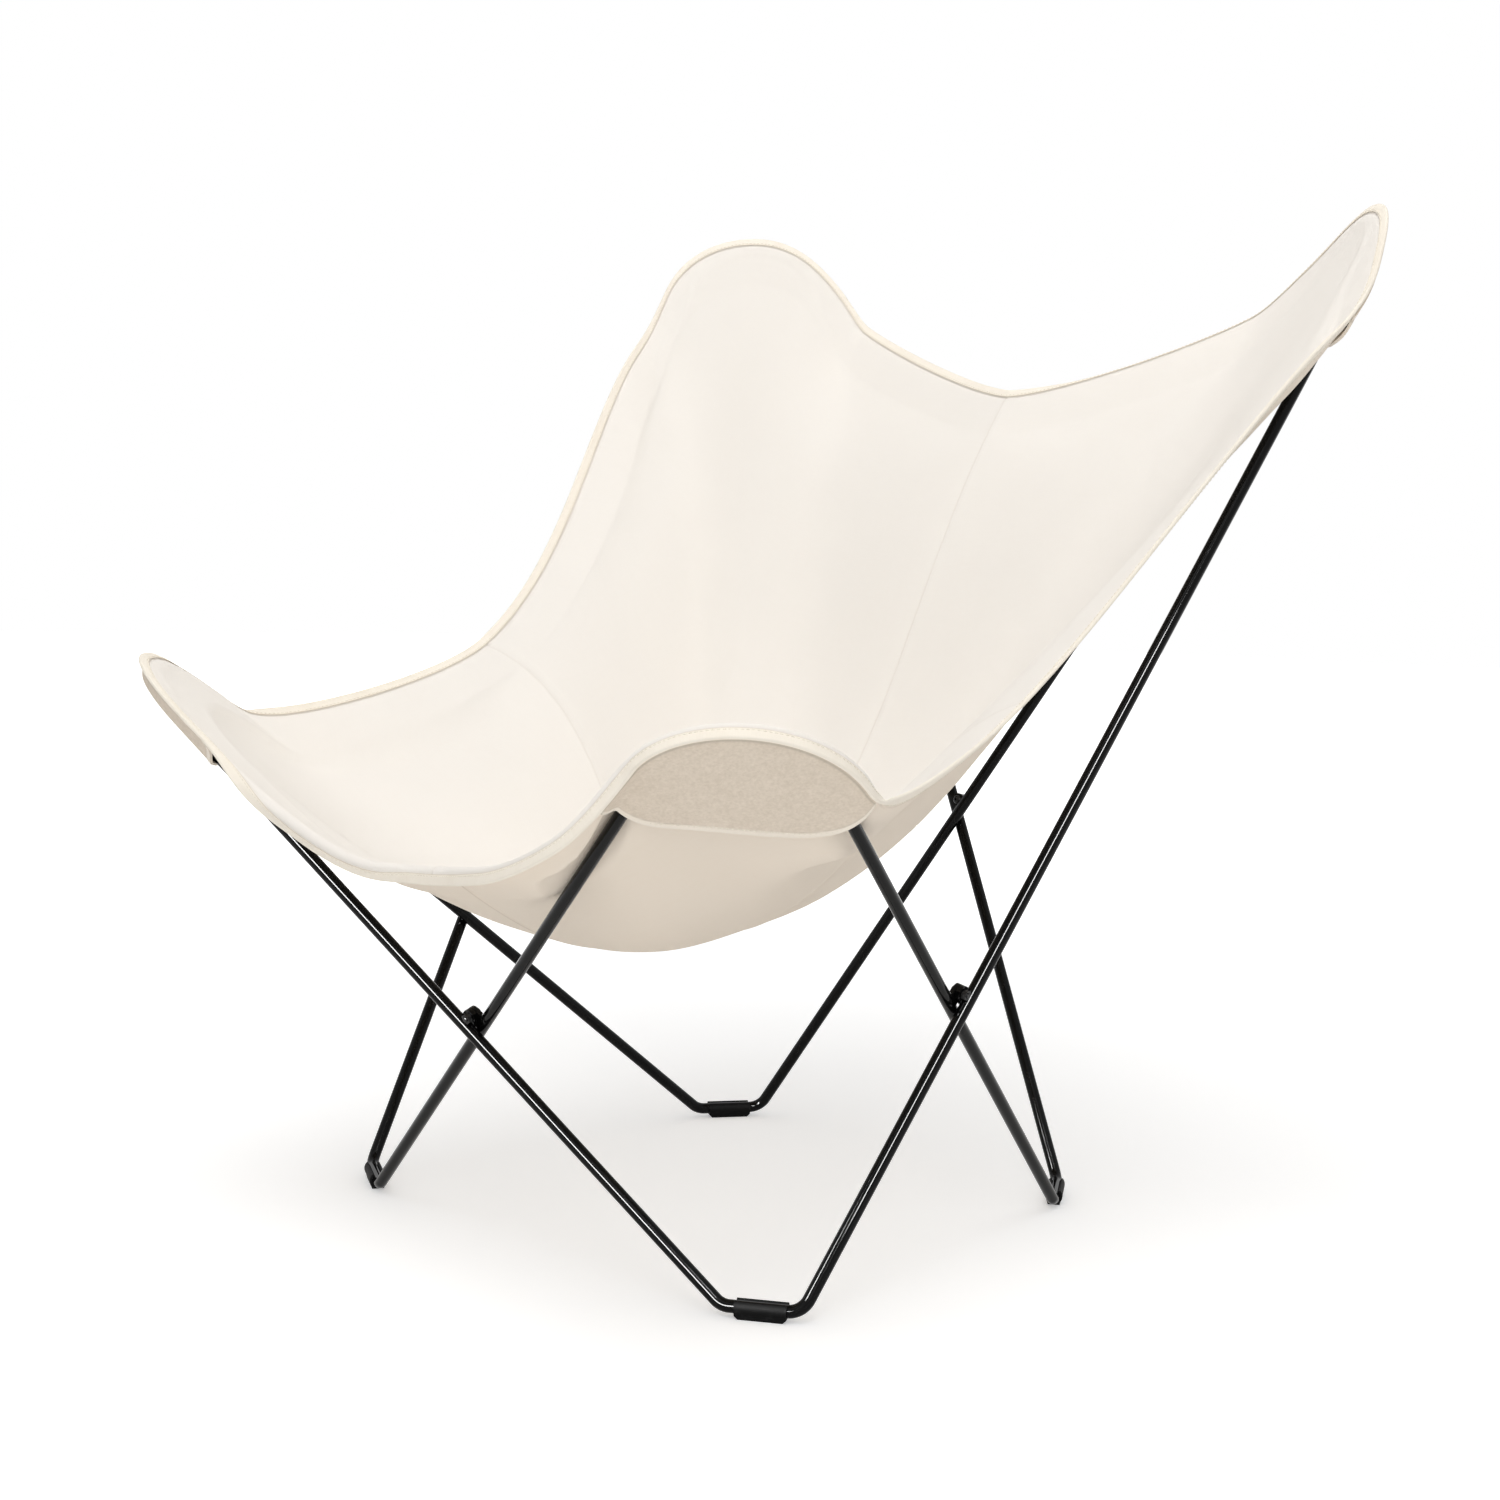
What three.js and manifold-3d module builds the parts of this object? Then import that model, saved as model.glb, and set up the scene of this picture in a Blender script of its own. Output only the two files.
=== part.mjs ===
// Butterfly sling chair: two bent rod loops bolted at four crossings, and a sewn sling hung over four horns.
// Millimetres, +Z up, floor at z = 0. The chair faces -Y and the sitter's left is +X.
import * as THREE from 'three';
import { mergeVertices } from 'three/addons/utils/BufferGeometryUtils.js';
import Module from 'manifold-3d';

const wasm = await Module();
wasm.setup();

// Clearance kept between neighbouring pieces
const gap = 0.3;

// Rod loops: the corner points are where the straight legs would meet without their bends
const rodDiameter = 11;
const rodSides = 12;
const footBend = 18;
const hornFrontBend = 76.9;
const hornBackBend = 68.6;
const hornFrontX = 436.2;
const hornFrontY = -465.7;
const hornFrontZ = 577;
const hornBackX = 440.8;
const hornBackY = 465.6;
const hornBackZ = 1077.1;
const footFrontX = 247.9;
const footFrontY = -234.9;
const footFrontTurn = 31.13;
const footBackX = 214.8;
const footBackY = 206;
const footBackTurn = 56.16;
const footHalf = 33.2;
const footDriftShare = 0.278;
const bendStep = 14;

// Foot sleeves: clipped over the rod from below, flat sole, open along the top
const sleeveLength = 43;
const sleeveWall = 2.2;
const sleeveSole = 3.1;
const sleeveSoleWidth = 11;
const sleeveSlot = 84;
const sleeveWaist = 35;
const sleeveChamfer = 3;
const sleeveSteps = 8;

// Crossing lugs, bolts and nuts
const lugThickness = 4;
const lugPlay = 0.6;
const lugRadius = 6.6;
const lugSpread = 1.8;
const boltDiameter = 5;
const boltHeadDiameter = 9;
const boltHeadHeight = 2.8;
const boltSocketDiameter = 3.6;
const boltSocketDepth = 1.8;
const boltTip = 1.2;
const nutFlats = 8;
const nutHeight = 4;
const roundSteps = 16;

// Sling: cloth, sewn edge and seat centre
const clothThickness = 1.6;
const clothRide = 1.8;
const clothFall = 0.035;
const legFall = 0.012;
const legFallReach = 90;
const clothBlend = 2;
const clothFade = 6;
const ridgeReach = 260;
const hemWidth = 11;
const frontHemWidth = 18;
const bindingWidth = 3.2;
const bindingDepth = 3.6;
const seatY = -59;
const seatZ = 260.8;
const seatTilt = 0.11;

// Sling outline: middle points of the free edges, and the handles that bend the edges (sitter's left side)
const frontMid = [0, -411.9, 349.4];
const backMid = [0, 365.7, 745.9];
const sideMid = [325.9, -37.9, 479.7];
const frontMidHandle = [59.5, 0, 0.4];
const frontCornerHandle = [-136.5, 15.4, -89.7];
const backMidHandle = [65.4, -1.5, 2.1];
const backCornerHandle = [-44.6, -23, -14.5];
const sideMidFrontHandle = [17.2, -67.4, -22.1];
const sideCornerFrontHandle = [-7.7, 89.3, 1.4];
const sideMidBackHandle = [-23, 77.8, 50.6];
const sideCornerBackHandle = [-9, -38.7, -81.6];

// Sling rim round a horn: reach past the rod, corner angle, rise of the two corners
const rimTip = 12;
const rimFrontCorner = 23;
const rimBackCorner = 47.8;
const rimFrontAngle = 97.2;
const rimBackAngle = 105.1;
const rimFlare = 3.5;
const rimLift = 4;
const rimFrontRise = [-4.2, 16.2];
const rimBackRise = [2.7, 0];
const neckDrop = 320;

// Sling rays from the seat centre: arrival angle, handle length and start share at each edge
const frontArrival = 25.7;
const backArrival = 51.2;
const sideArrival = 17;
const sideYaw = -13.3;
const frontHandle = 161.2;
const backHandle = 248.4;
const sideHandle = 245.2;
const hornFrontHandle = 71.6;
const hornBackHandle = 206;
const frontStart = 0.48;
const backStart = 0.56;
const sideStart = 0.4;
const hornFrontStart = 0.55;
const hornBackStart = 0.55;
const frontCurl = 97.5;
const sideCurl = 8;
const backCurl = 5;

// Pocket flaps on the outer side of the horns
const flapFrontBow = 25;
const flapBackBow = 30;
const flapPower = 2.4;
const flapTuck = 7;
const flapTail = 0.35;
const flapInset = 9;
const flapPlay = 0.4;
const flapEdge = 0.84;

// Mesh density of the sling
const edgeShare = 0.3;
const panelColumns = 26;
const panelRows = 8;
const rimRows = [46, 33, 22, 12, 5, 0];
const hemRows = 2;
const flapColumns = 14;
const flapRows = [0, 0.06, 0.12, 0.2, 0.5, 1];
const slopeStep = 0.004;
const easeSpread = 8;

// Small helpers
const deg = Math.PI / 180;
const rodRadius = rodDiameter / 2;
const footAxisZ = sleeveSole + gap + rodRadius;
const up = new THREE.Vector3(0, 0, 1);

function vec(x, y, z) {
  return new THREE.Vector3(x, y, z);
}

function along(point, direction, distance) {
  return point.clone().addScaledVector(direction, distance);
}

function towards(from, to) {
  return to.clone().sub(from).normalize();
}

function crossUnit(a, b) {
  return a.clone().cross(b).normalize();
}

function smooth(t) {
  const s = Math.min(1, Math.max(0, t));
  return s * s * (3 - 2 * s);
}

function mix(a, b, share) {
  return a + (b - a) * share;
}

// Signed volume of a triangle mesh, from the tetrahedra between its faces and the origin
function signedVolume(positions, index) {
  let sum = 0;
  const [a, b, c] = [vec(0, 0, 0), vec(0, 0, 0), vec(0, 0, 0)];
  for (let i = 0; i < index.length; i += 3) {
    a.fromArray(positions, 3 * index[i]);
    b.fromArray(positions, 3 * index[i + 1]);
    c.fromArray(positions, 3 * index[i + 2]);
    sum += a.dot(b.cross(c));
  }
  return sum;
}

// Closed mesh from points and faces, turned so that its faces point out
function solidOf(points, faces) {
  const positions = points.flatMap((p) => [p.x, p.y, p.z]);
  const flat = faces.flat();
  const outward = signedVolume(positions, flat) > 0;
  const index = outward ? flat : faces.flatMap((f) => [f[0], f[2], f[1]]);
  const geometry = new THREE.BufferGeometry();
  geometry.setAttribute('position', new THREE.Float32BufferAttribute(positions, 3));
  geometry.setIndex(index);
  return geometry;
}

// Closed ring of equal sections, the last one joined to the first
function ringSolid(sections) {
  const count = sections.length;
  const sides = sections[0].length;
  const faces = [];
  for (let i = 0; i < count; i += 1) {
    const here = i * sides;
    const next = ((i + 1) % count) * sides;
    for (let j = 0; j < sides; j += 1) {
      const k = (j + 1) % sides;
      faces.push([here + j, here + k, next + k], [here + j, next + k, next + j]);
    }
  }
  return solidOf(sections.flat(), faces);
}

// Sheet of even thickness round a grid of points and normals; with a tip, the first row is one point
function sheetSolid(grid, normals, thickness, tip) {
  const rows = grid.length;
  const columns = grid[0].length;
  const points = [];
  for (const way of [0.5, -0.5]) {
    for (let i = 0; i < rows; i += 1) {
      for (let j = 0; j < (tip && i === 0 ? 1 : columns); j += 1) {
        points.push(along(grid[i][j], normals[i][j], way * thickness));
      }
    }
  }
  const half = points.length / 2;
  const skipped = tip ? columns - 1 : 0;
  const at = (layer, i, j) => layer * half + (tip && i === 0 ? 0 : i * columns + j - skipped);
  const faces = [];
  const quad = (a, b, c, d) => {
    if (a !== b) faces.push([a, b, c]);
    if (c !== d) faces.push([a, c, d]);
  };
  for (let i = 0; i + 1 < rows; i += 1) {
    for (let j = 0; j + 1 < columns; j += 1) {
      quad(at(0, i, j), at(0, i, j + 1), at(0, i + 1, j + 1), at(0, i + 1, j));
      quad(at(1, i, j + 1), at(1, i, j), at(1, i + 1, j), at(1, i + 1, j + 1));
    }
    quad(at(0, i, 0), at(0, i + 1, 0), at(1, i + 1, 0), at(1, i, 0));
    quad(at(0, i + 1, columns - 1), at(0, i, columns - 1), at(1, i, columns - 1), at(1, i + 1, columns - 1));
  }
  for (let j = 0; j + 1 < columns; j += 1) {
    if (!tip) quad(at(0, 0, j + 1), at(0, 0, j), at(1, 0, j), at(1, 0, j + 1));
    quad(at(0, rows - 1, j), at(0, rows - 1, j + 1), at(1, rows - 1, j + 1), at(1, rows - 1, j));
  }
  return solidOf(points, faces);
}

// Bodies for cutting one piece by another
function bodyOf(geometry) {
  const bare = geometry.clone();
  bare.deleteAttribute('normal');
  bare.deleteAttribute('uv');
  const merged = mergeVertices(bare, 1e-4);
  const vertProperties = new Float32Array(merged.attributes.position.array);
  const triVerts = new Uint32Array(merged.index.array);
  return new wasm.Manifold(new wasm.Mesh({ numProp: 3, vertProperties, triVerts }));
}

function geometryOf(body) {
  const mesh = body.getMesh();
  const geometry = new THREE.BufferGeometry();
  geometry.setAttribute('position', new THREE.Float32BufferAttribute(mesh.vertProperties, 3));
  geometry.setIndex(Array.from(mesh.triVerts));
  return geometry;
}

// Flat outline pushed out along local Z and placed by its three axes
function plate(shape, start, end, origin, xAxis, yAxis, zAxis) {
  const settings = { depth: end - start, bevelEnabled: false, curveSegments: sleeveSteps, steps: 1 };
  const geometry = new THREE.ExtrudeGeometry(shape, settings);
  geometry.translate(0, 0, start);
  geometry.applyMatrix4(new THREE.Matrix4().makeBasis(xAxis, yAxis, zAxis).setPosition(origin));
  return geometry;
}

// Feet: each foot is a level straight between the legs of a front and a back horn
function foot(side, front, drift) {
  const turn = (front ? footFrontTurn : footBackTurn) * deg;
  const centre = front
    ? vec(side * footFrontX + drift, footFrontY, footAxisZ)
    : vec(side * footBackX, footBackY, footAxisZ);
  const axis = vec((front ? side : -side) * Math.cos(turn), Math.sin(turn), 0);
  return { centre, axis, frontEnd: along(centre, axis, -footHalf), backEnd: along(centre, axis, footHalf) };
}

function hornPoint(side, front) {
  return front ? vec(side * hornFrontX, hornFrontY, hornFrontZ) : vec(side * hornBackX, hornBackY, hornBackZ);
}

// Corner points of the loop that carries the front horn on the given side
function loopCorners(side, shiftX, shiftY) {
  const drift = footDriftShare * shiftY;
  const shift = vec(-side * shiftX, side * shiftY, 0);
  const frontFoot = foot(-side, true, drift);
  const backFoot = foot(side, false, drift);
  const corners = [
    hornPoint(side, true), frontFoot.frontEnd, frontFoot.backEnd,
    hornPoint(-side, false), backFoot.backEnd, backFoot.frontEnd,
  ];
  return corners.map((corner) => corner.add(shift));
}

// Nearest points of two legs and the distance between their axes, positive where the first leg lies outside
function crossing(first, second, outside) {
  const d1 = towards(first[0], first[1]);
  const d2 = towards(second[0], second[1]);
  const normal = crossUnit(d1, d2);
  normal.multiplyScalar(Math.sign(normal.dot(outside)));
  const offset = first[0].clone().sub(second[0]);
  const d = d1.dot(d2);
  const t = (d * offset.dot(d2) - offset.dot(d1)) / (1 - d * d);
  const distance = offset.dot(normal);
  const onFirst = along(first[0], d1, t);
  return { d1, d2, normal, distance, onFirst, onSecond: along(onFirst, normal, -distance) };
}

// The four crossings: legs as corner numbers in the loop of the front right horn and of the front left horn
const crossingPlaces = [
  { name: 'front', right: [1, 0], left: [1, 0], outside: vec(0, -1, 0), rightOutside: true },
  { name: 'left', right: [2, 3], left: [5, 0], outside: vec(1, 0, 0), rightOutside: true },
  { name: 'right', right: [5, 0], left: [2, 3], outside: vec(-1, 0, 0), rightOutside: false },
  { name: 'back', right: [4, 3], left: [4, 3], outside: vec(0, 1, 0), rightOutside: false },
];

function crossingAt(place, shiftX, shiftY) {
  const right = loopCorners(-1, shiftX, shiftY);
  const left = loopCorners(1, shiftX, shiftY);
  const rightLeg = place.right.map((i) => right[i]);
  const leftLeg = place.left.map((i) => left[i]);
  return place.rightOutside
    ? crossing(rightLeg, leftLeg, place.outside)
    : crossing(leftLeg, rightLeg, place.outside);
}

// The loops are set apart just far enough for the rods to pass each other at every crossing
const axisDistance = rodDiameter + gap;

function shiftFor(places, fixedY) {
  const shifts = places.map((place) => {
    const base = crossingAt(place, 0, fixedY).distance;
    const slope = crossingAt(place, 1, fixedY).distance - base;
    return (axisDistance - base) / slope;
  });
  return Math.max(...shifts);
}

function shiftAcross(places) {
  const shifts = places.map((place) => {
    const base = crossingAt(place, 0, 0).distance;
    const slope = crossingAt(place, 0, 1).distance - base;
    return (axisDistance - base) / slope;
  });
  return Math.max(...shifts);
}

const loopShiftY = shiftAcross([crossingPlaces[0], crossingPlaces[3]]);
const loopShiftX = shiftFor([crossingPlaces[1], crossingPlaces[2]], loopShiftY);
const footDrift = footDriftShare * loopShiftY;

// Closed path through the corners, each corner rounded by its own bend
function roundedPath(corners, bends) {
  const count = corners.length;
  return corners.flatMap((corner, i) => {
    const before = towards(corner, corners[(i + count - 1) % count]);
    const after = towards(corner, corners[(i + 1) % count]);
    const half = before.angleTo(after) / 2;
    const start = along(corner, before, bends[i] / Math.tan(half));
    const centre = along(corner, before.clone().add(after).normalize(), bends[i] / Math.sin(half));
    const axis = crossUnit(after, before);
    const turn = Math.PI - 2 * half;
    const steps = Math.ceil(turn / (bendStep * deg));
    const arm = start.sub(centre);
    return Array.from({ length: steps + 1 }, (_, k) => {
      return arm.clone().applyAxisAngle(axis, turn * k / steps).add(centre);
    });
  });
}

// Round rod along a closed path; what twist is left after one way round is spread over all sections
function rodLoop(path) {
  const count = path.length;
  const tangents = path.map((p, i) => {
    const incoming = towards(path[(i + count - 1) % count], p);
    const outgoing = towards(p, path[(i + 1) % count]);
    return incoming.add(outgoing).normalize();
  });
  const normals = [crossUnit(tangents[0], up)];
  for (let i = 1; i <= count; i += 1) {
    const tangent = tangents[i % count];
    normals.push(along(normals[i - 1], tangent, -normals[i - 1].dot(tangent)).normalize());
  }
  const side = tangents[0].clone().cross(normals[0]);
  const twist = Math.atan2(normals[count].dot(side), normals[count].dot(normals[0]));
  const sections = path.map((p, i) => {
    return Array.from({ length: rodSides }, (_, k) => {
      const angle = 2 * Math.PI * k / rodSides - twist * i / count;
      const arm = normals[i].clone().applyAxisAngle(tangents[i], angle);
      return along(p, arm, rodRadius);
    });
  });
  return ringSolid(sections);
}

const loopBends = [hornFrontBend, footBend, footBend, hornBackBend, footBend, footBend];

function frameLoop(side) {
  return rodLoop(roundedPath(loopCorners(side, loopShiftX, loopShiftY), loopBends));
}

// Foot sleeve: a split ring with a flat sole, its sole corners cut off at both ends
function footSleeve(side, front) {
  const loopSide = front ? -side : side;
  const seat = foot(side, front, footDrift);
  const centre = seat.centre.add(vec(-loopSide * loopShiftX, loopSide * loopShiftY, 0));
  const inner = rodRadius + gap;
  const outer = inner + sleeveWall;
  const slot = sleeveSlot / 2 * deg;
  const top = Math.PI / 2;
  const waist = sleeveWaist * deg;
  const ring = new THREE.Shape();
  ring.absarc(0, 0, outer, top - slot, -waist, true);
  ring.lineTo(sleeveSoleWidth / 2, -footAxisZ);
  ring.lineTo(-sleeveSoleWidth / 2, -footAxisZ);
  ring.absarc(0, 0, outer, Math.PI + waist, top + slot, true);
  ring.lineTo(inner * Math.cos(top + slot), inner * Math.sin(top + slot));
  ring.absarc(0, 0, inner, top + slot, top - slot + 2 * Math.PI, false);
  ring.closePath();
  const across = crossUnit(up, seat.axis);
  const reach = sleeveLength / 2;
  const blank = plate(ring, -reach, reach, centre, across, up, seat.axis);
  const edge = new THREE.Shape();
  edge.moveTo(-reach, 2 * outer);
  edge.lineTo(-reach, sleeveChamfer - footAxisZ);
  edge.lineTo(sleeveChamfer - reach, -footAxisZ);
  edge.lineTo(reach - sleeveChamfer, -footAxisZ);
  edge.lineTo(reach, sleeveChamfer - footAxisZ);
  edge.lineTo(reach, 2 * outer);
  edge.closePath();
  const limit = plate(edge, -2 * outer, 2 * outer, centre, seat.axis, up, across.clone().negate());
  return geometryOf(bodyOf(blank).intersect(bodyOf(limit)));
}

// The bolt stands clear of both rods by its head or its nut, whichever is wider
const nutCorner = nutFlats / Math.sqrt(3);
const holeReach = rodRadius + gap + lugPlay + Math.max(nutCorner, boltHeadDiameter / 2);

// Rod stub used to hollow a lug where it stands on its rod
function rodStub(point, direction, radius) {
  const reach = 6 * (holeReach + lugRadius);
  const stub = new THREE.CylinderGeometry(radius, radius, reach, 2 * rodSides);
  stub.applyQuaternion(new THREE.Quaternion().setFromUnitVectors(vec(0, 1, 0), direction));
  stub.translate(point.x, point.y, point.z);
  return bodyOf(stub);
}

// Upright tab on one rod of a crossing, with the bolt hole over the crossing point
function crossingLug(place, outer) {
  const c = crossingAt(place, loopShiftX, loopShiftY);
  const direction = outer ? c.d1 : c.d2;
  const other = outer ? c.d2 : c.d1;
  const onRod = outer ? c.onFirst : c.onSecond;
  const way = outer ? 1 : -1;
  const middle = c.onFirst.clone().add(c.onSecond).multiplyScalar(0.5);
  const half = direction.angleTo(other) / 2;
  const holeX = holeReach / Math.tan(half);
  const holeY = holeReach;
  const across = along(other, direction, -other.dot(direction)).normalize();
  const tab = new THREE.Shape();
  tab.moveTo(holeX + lugRadius + lugSpread, 0);
  tab.lineTo(holeX + lugRadius, holeY);
  tab.absarc(holeX, holeY, lugRadius, 0, Math.PI, false);
  tab.lineTo(holeX - lugRadius - lugSpread, 0);
  tab.closePath();
  const hole = new THREE.Path();
  hole.absarc(holeX, holeY, boltDiameter / 2 + gap, 0, 2 * Math.PI, true);
  tab.holes.push(hole);
  const handed = crossUnit(direction, across);
  const facing = way * Math.sign(handed.dot(c.normal));
  const near = facing > 0 ? gap / 2 : -gap / 2 - lugThickness;
  const blank = plate(tab, near, near + lugThickness, middle, direction, across, handed);
  return geometryOf(bodyOf(blank).subtract(rodStub(onRod, direction, rodRadius + gap)));
}

// Place of a bolt: its axis runs from the inner side of the chair outwards
function boltPlace(place) {
  const c = crossingAt(place, loopShiftX, loopShiftY);
  const middle = c.onFirst.clone().add(c.onSecond).multiplyScalar(0.5);
  const rise = c.d1.clone().add(c.d2).normalize();
  const half = c.d1.angleTo(c.d2) / 2;
  return { origin: along(middle, rise, holeReach / Math.sin(half)), axis: c.normal, rise };
}

function placed(geometry, spot) {
  const side = crossUnit(spot.axis, spot.rise);
  const basis = new THREE.Matrix4().makeBasis(side, spot.axis, crossUnit(side, spot.axis));
  geometry.applyMatrix4(basis.setPosition(spot.origin));
  return geometry;
}

const lugFace = gap / 2 + lugThickness;

function crossingBolt(place) {
  const shank = boltDiameter / 2;
  const head = boltHeadDiameter / 2;
  const socket = boltSocketDiameter / 2;
  const seat = -lugFace - gap;
  const crown = seat - boltHeadHeight;
  const tip = lugFace + gap + nutHeight + boltTip;
  const profile = [
    [0, crown + boltSocketDepth], [socket, crown + boltSocketDepth], [socket, crown],
    [mix(socket, head, 0.6), mix(crown, seat, 0.2)], [head, mix(crown, seat, 0.65)], [head, seat],
    [shank, seat], [shank, tip - shank / 4], [shank * 0.75, tip], [0, tip],
  ];
  const points = profile.map((p) => new THREE.Vector2(p[0], p[1]));
  return placed(new THREE.LatheGeometry(points, roundSteps), boltPlace(place));
}

function crossingNut(place) {
  const hex = new THREE.Shape();
  for (let i = 0; i < 6; i += 1) {
    const angle = i * Math.PI / 3;
    const [x, y] = [nutCorner * Math.cos(angle), nutCorner * Math.sin(angle)];
    if (i === 0) hex.moveTo(x, y);
    else hex.lineTo(x, y);
  }
  hex.closePath();
  const hole = new THREE.Path();
  hole.absarc(0, 0, boltDiameter / 2 + gap, 0, 2 * Math.PI, true);
  hex.holes.push(hole);
  const spot = boltPlace(place);
  const side = crossUnit(spot.axis, spot.rise);
  const start = lugFace + gap;
  return plate(hex, start, start + nutHeight, spot.origin, crossUnit(side, spot.axis), side, spot.axis);
}

// Horn frame: b runs down the middle of the horn, w from the edge leg to the side leg, n to the sitter
const seatCentre = vec(0, seatY, seatZ);

function hornFrame(side, front) {
  const corners = loopCorners(front ? side : -side, loopShiftX, loopShiftY);
  const apex = corners[front ? 0 : 3];
  const edgeLeg = towards(apex, corners[front ? 1 : 4]);
  const sideLeg = towards(apex, corners[front ? 5 : 2]);
  const bend = front ? hornFrontBend : hornBackBend;
  const alpha = edgeLeg.angleTo(sideLeg) / 2;
  const b = edgeLeg.clone().add(sideLeg).normalize();
  const w = sideLeg.clone().sub(edgeLeg).normalize();
  const centre = along(apex, b, bend / Math.sin(alpha));
  const n = crossUnit(w, b);
  n.multiplyScalar(Math.sign(n.dot(seatCentre.clone().sub(centre))));
  return { centre, b, w, n, alpha, bend };
}

// One quarter of the sling: everything its surface needs
function quarterOf(side, front) {
  const hand = (p) => vec(p[0] * side, p[1], p[2]);
  const arrival = (front ? frontArrival : backArrival) * deg;
  const [tilt, yaw] = [sideArrival * deg, sideYaw * deg];
  return {
    side,
    front,
    horn: hornFrame(side, front),
    angle: (front ? rimFrontAngle : rimBackAngle) * deg,
    corner: front ? rimFrontCorner : rimBackCorner,
    rise: front ? rimFrontRise : rimBackRise,
    edges: [
      {
        mid: hand(front ? frontMid : backMid),
        midHandle: hand(front ? frontMidHandle : backMidHandle),
        cornerHandle: hand(front ? frontCornerHandle : backCornerHandle),
        arrival: vec(0, (front ? -1 : 1) * Math.cos(arrival), Math.sin(arrival)),
        handle: front ? frontHandle : backHandle,
        start: front ? frontStart : backStart,
        curl: (front ? frontCurl : backCurl) * deg,
        hem: front ? frontHemWidth : hemWidth,
      },
      {
        mid: hand(sideMid),
        midHandle: hand(front ? sideMidFrontHandle : sideMidBackHandle),
        cornerHandle: hand(front ? sideCornerFrontHandle : sideCornerBackHandle),
        arrival: hand([Math.cos(tilt) * Math.cos(yaw), Math.cos(tilt) * Math.sin(yaw), Math.sin(tilt)]),
        handle: sideHandle,
        start: sideStart,
        curl: sideCurl * deg,
        hem: hemWidth,
      },
    ],
    hornHandle: front ? hornFrontHandle : hornBackHandle,
    hornStart: front ? hornFrontStart : hornBackStart,
  };
}

function hornPointAt(horn, w, b, n) {
  return horn.centre.clone().addScaledVector(horn.w, w).addScaledVector(horn.b, b).addScaledVector(horn.n, n);
}

function cubic(p0, p1, p2, p3, t) {
  const s = 1 - t;
  return vec(0, 0, 0)
    .addScaledVector(p0, s * s * s)
    .addScaledVector(p1, 3 * s * s * t)
    .addScaledVector(p2, 3 * s * t * t)
    .addScaledVector(p3, t * t * t);
}

function rimPoint(quarter, angle) {
  const share = Math.abs(angle) / quarter.angle;
  const radius = quarter.horn.bend + mix(rimTip, quarter.corner, share ** rimFlare);
  const rise = quarter.rise[angle < 0 ? 0 : 1] * share ** rimLift;
  return hornPointAt(quarter.horn, radius * Math.sin(angle), -radius * Math.cos(angle), rise);
}

// Sewn outline of a quarter: v runs from the middle of the front or back edge, round the horn, to the side middle
function outlinePoint(quarter, v) {
  const [edgeA, edgeB] = quarter.edges;
  const inRim = v >= edgeShare && v <= 1 - edgeShare;
  if (inRim) return rimPoint(quarter, ((v - edgeShare) / (1 - 2 * edgeShare) * 2 - 1) * quarter.angle);
  const edge = v < edgeShare ? edgeA : edgeB;
  const corner = rimPoint(quarter, v < edgeShare ? -quarter.angle : quarter.angle);
  const share = (v < edgeShare ? v : 1 - v) / edgeShare;
  const p1 = edge.mid.clone().add(edge.midHandle);
  const p2 = corner.clone().add(edge.cornerHandle);
  return cubic(edge.mid, p1, p2, corner, share);
}

// Ray of the sling at v: outline point, arrival tangent and the handles of its curve
function rayOf(quarter, v) {
  const edge = quarter.edges[v < 0.5 ? 0 : 1];
  const end = outlinePoint(quarter, v);
  const share = smooth((v < 0.5 ? v : 1 - v) / edgeShare);
  const neck = along(quarter.horn.centre, quarter.horn.b, neckDrop);
  const tangent = edge.arrival.clone().lerp(towards(neck, end), share).normalize();
  const handle = mix(edge.handle, quarter.hornHandle, share);
  const flat = vec(end.x - seatCentre.x, end.y - seatCentre.y, 0);
  const p1 = along(seatCentre, flat, mix(edge.start, quarter.hornStart, share));
  p1.z += seatTilt * (p1.y - seatCentre.y);
  const after = outlinePoint(quarter, Math.min(1, v + slopeStep));
  const run = after.sub(outlinePoint(quarter, Math.max(0, v - slopeStep)));
  const upper = crossUnit(tangent, run);
  upper.multiplyScalar(Math.sign(upper.z));
  const curl = edge.curl * (1 - share);
  const hem = mix(edge.hem, hemWidth, share);
  return { end, tangent, handle, p1, p2: along(end, tangent, -handle), upper, curl, hem };
}

// Hem past the outline: the cloth keeps its direction or rolls over towards the outside
function hemPoint(ray, share) {
  const angle = ray.curl * share;
  const straight = ray.curl < 1e-4;
  const out = straight ? share : Math.sin(angle) / ray.curl;
  const down = straight ? 0 : (1 - Math.cos(angle)) / ray.curl;
  return ray.end.clone().addScaledVector(ray.tangent, ray.hem * out).addScaledVector(ray.upper, -ray.hem * down);
}

function hemTangent(ray) {
  return ray.tangent.clone().multiplyScalar(Math.cos(ray.curl)).addScaledVector(ray.upper, -Math.sin(ray.curl));
}

// Place of a point against the horn rod: distance in the horn plane, positive outside, and horn coordinates
function againstRod(horn, point) {
  const offset = point.clone().sub(horn.centre);
  const [w, b, n] = [offset.dot(horn.w), offset.dot(horn.b), offset.dot(horn.n)];
  const open = Math.PI / 2 - horn.alpha;
  const onArc = Math.abs(Math.atan2(w, -b)) < open;
  const legW = Math.abs(w) - horn.bend * Math.sin(open);
  const legB = b + horn.bend * Math.cos(open);
  const toLeg = legW * Math.cos(horn.alpha) - legB * Math.sin(horn.alpha);
  return { distance: onArc ? Math.hypot(w, b) - horn.bend : toLeg, w, b, n };
}

// Height the cloth needs over the rod, and the soft larger one of two heights
const clothTop = rodRadius + gap + clothRide + clothThickness / 2;

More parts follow.
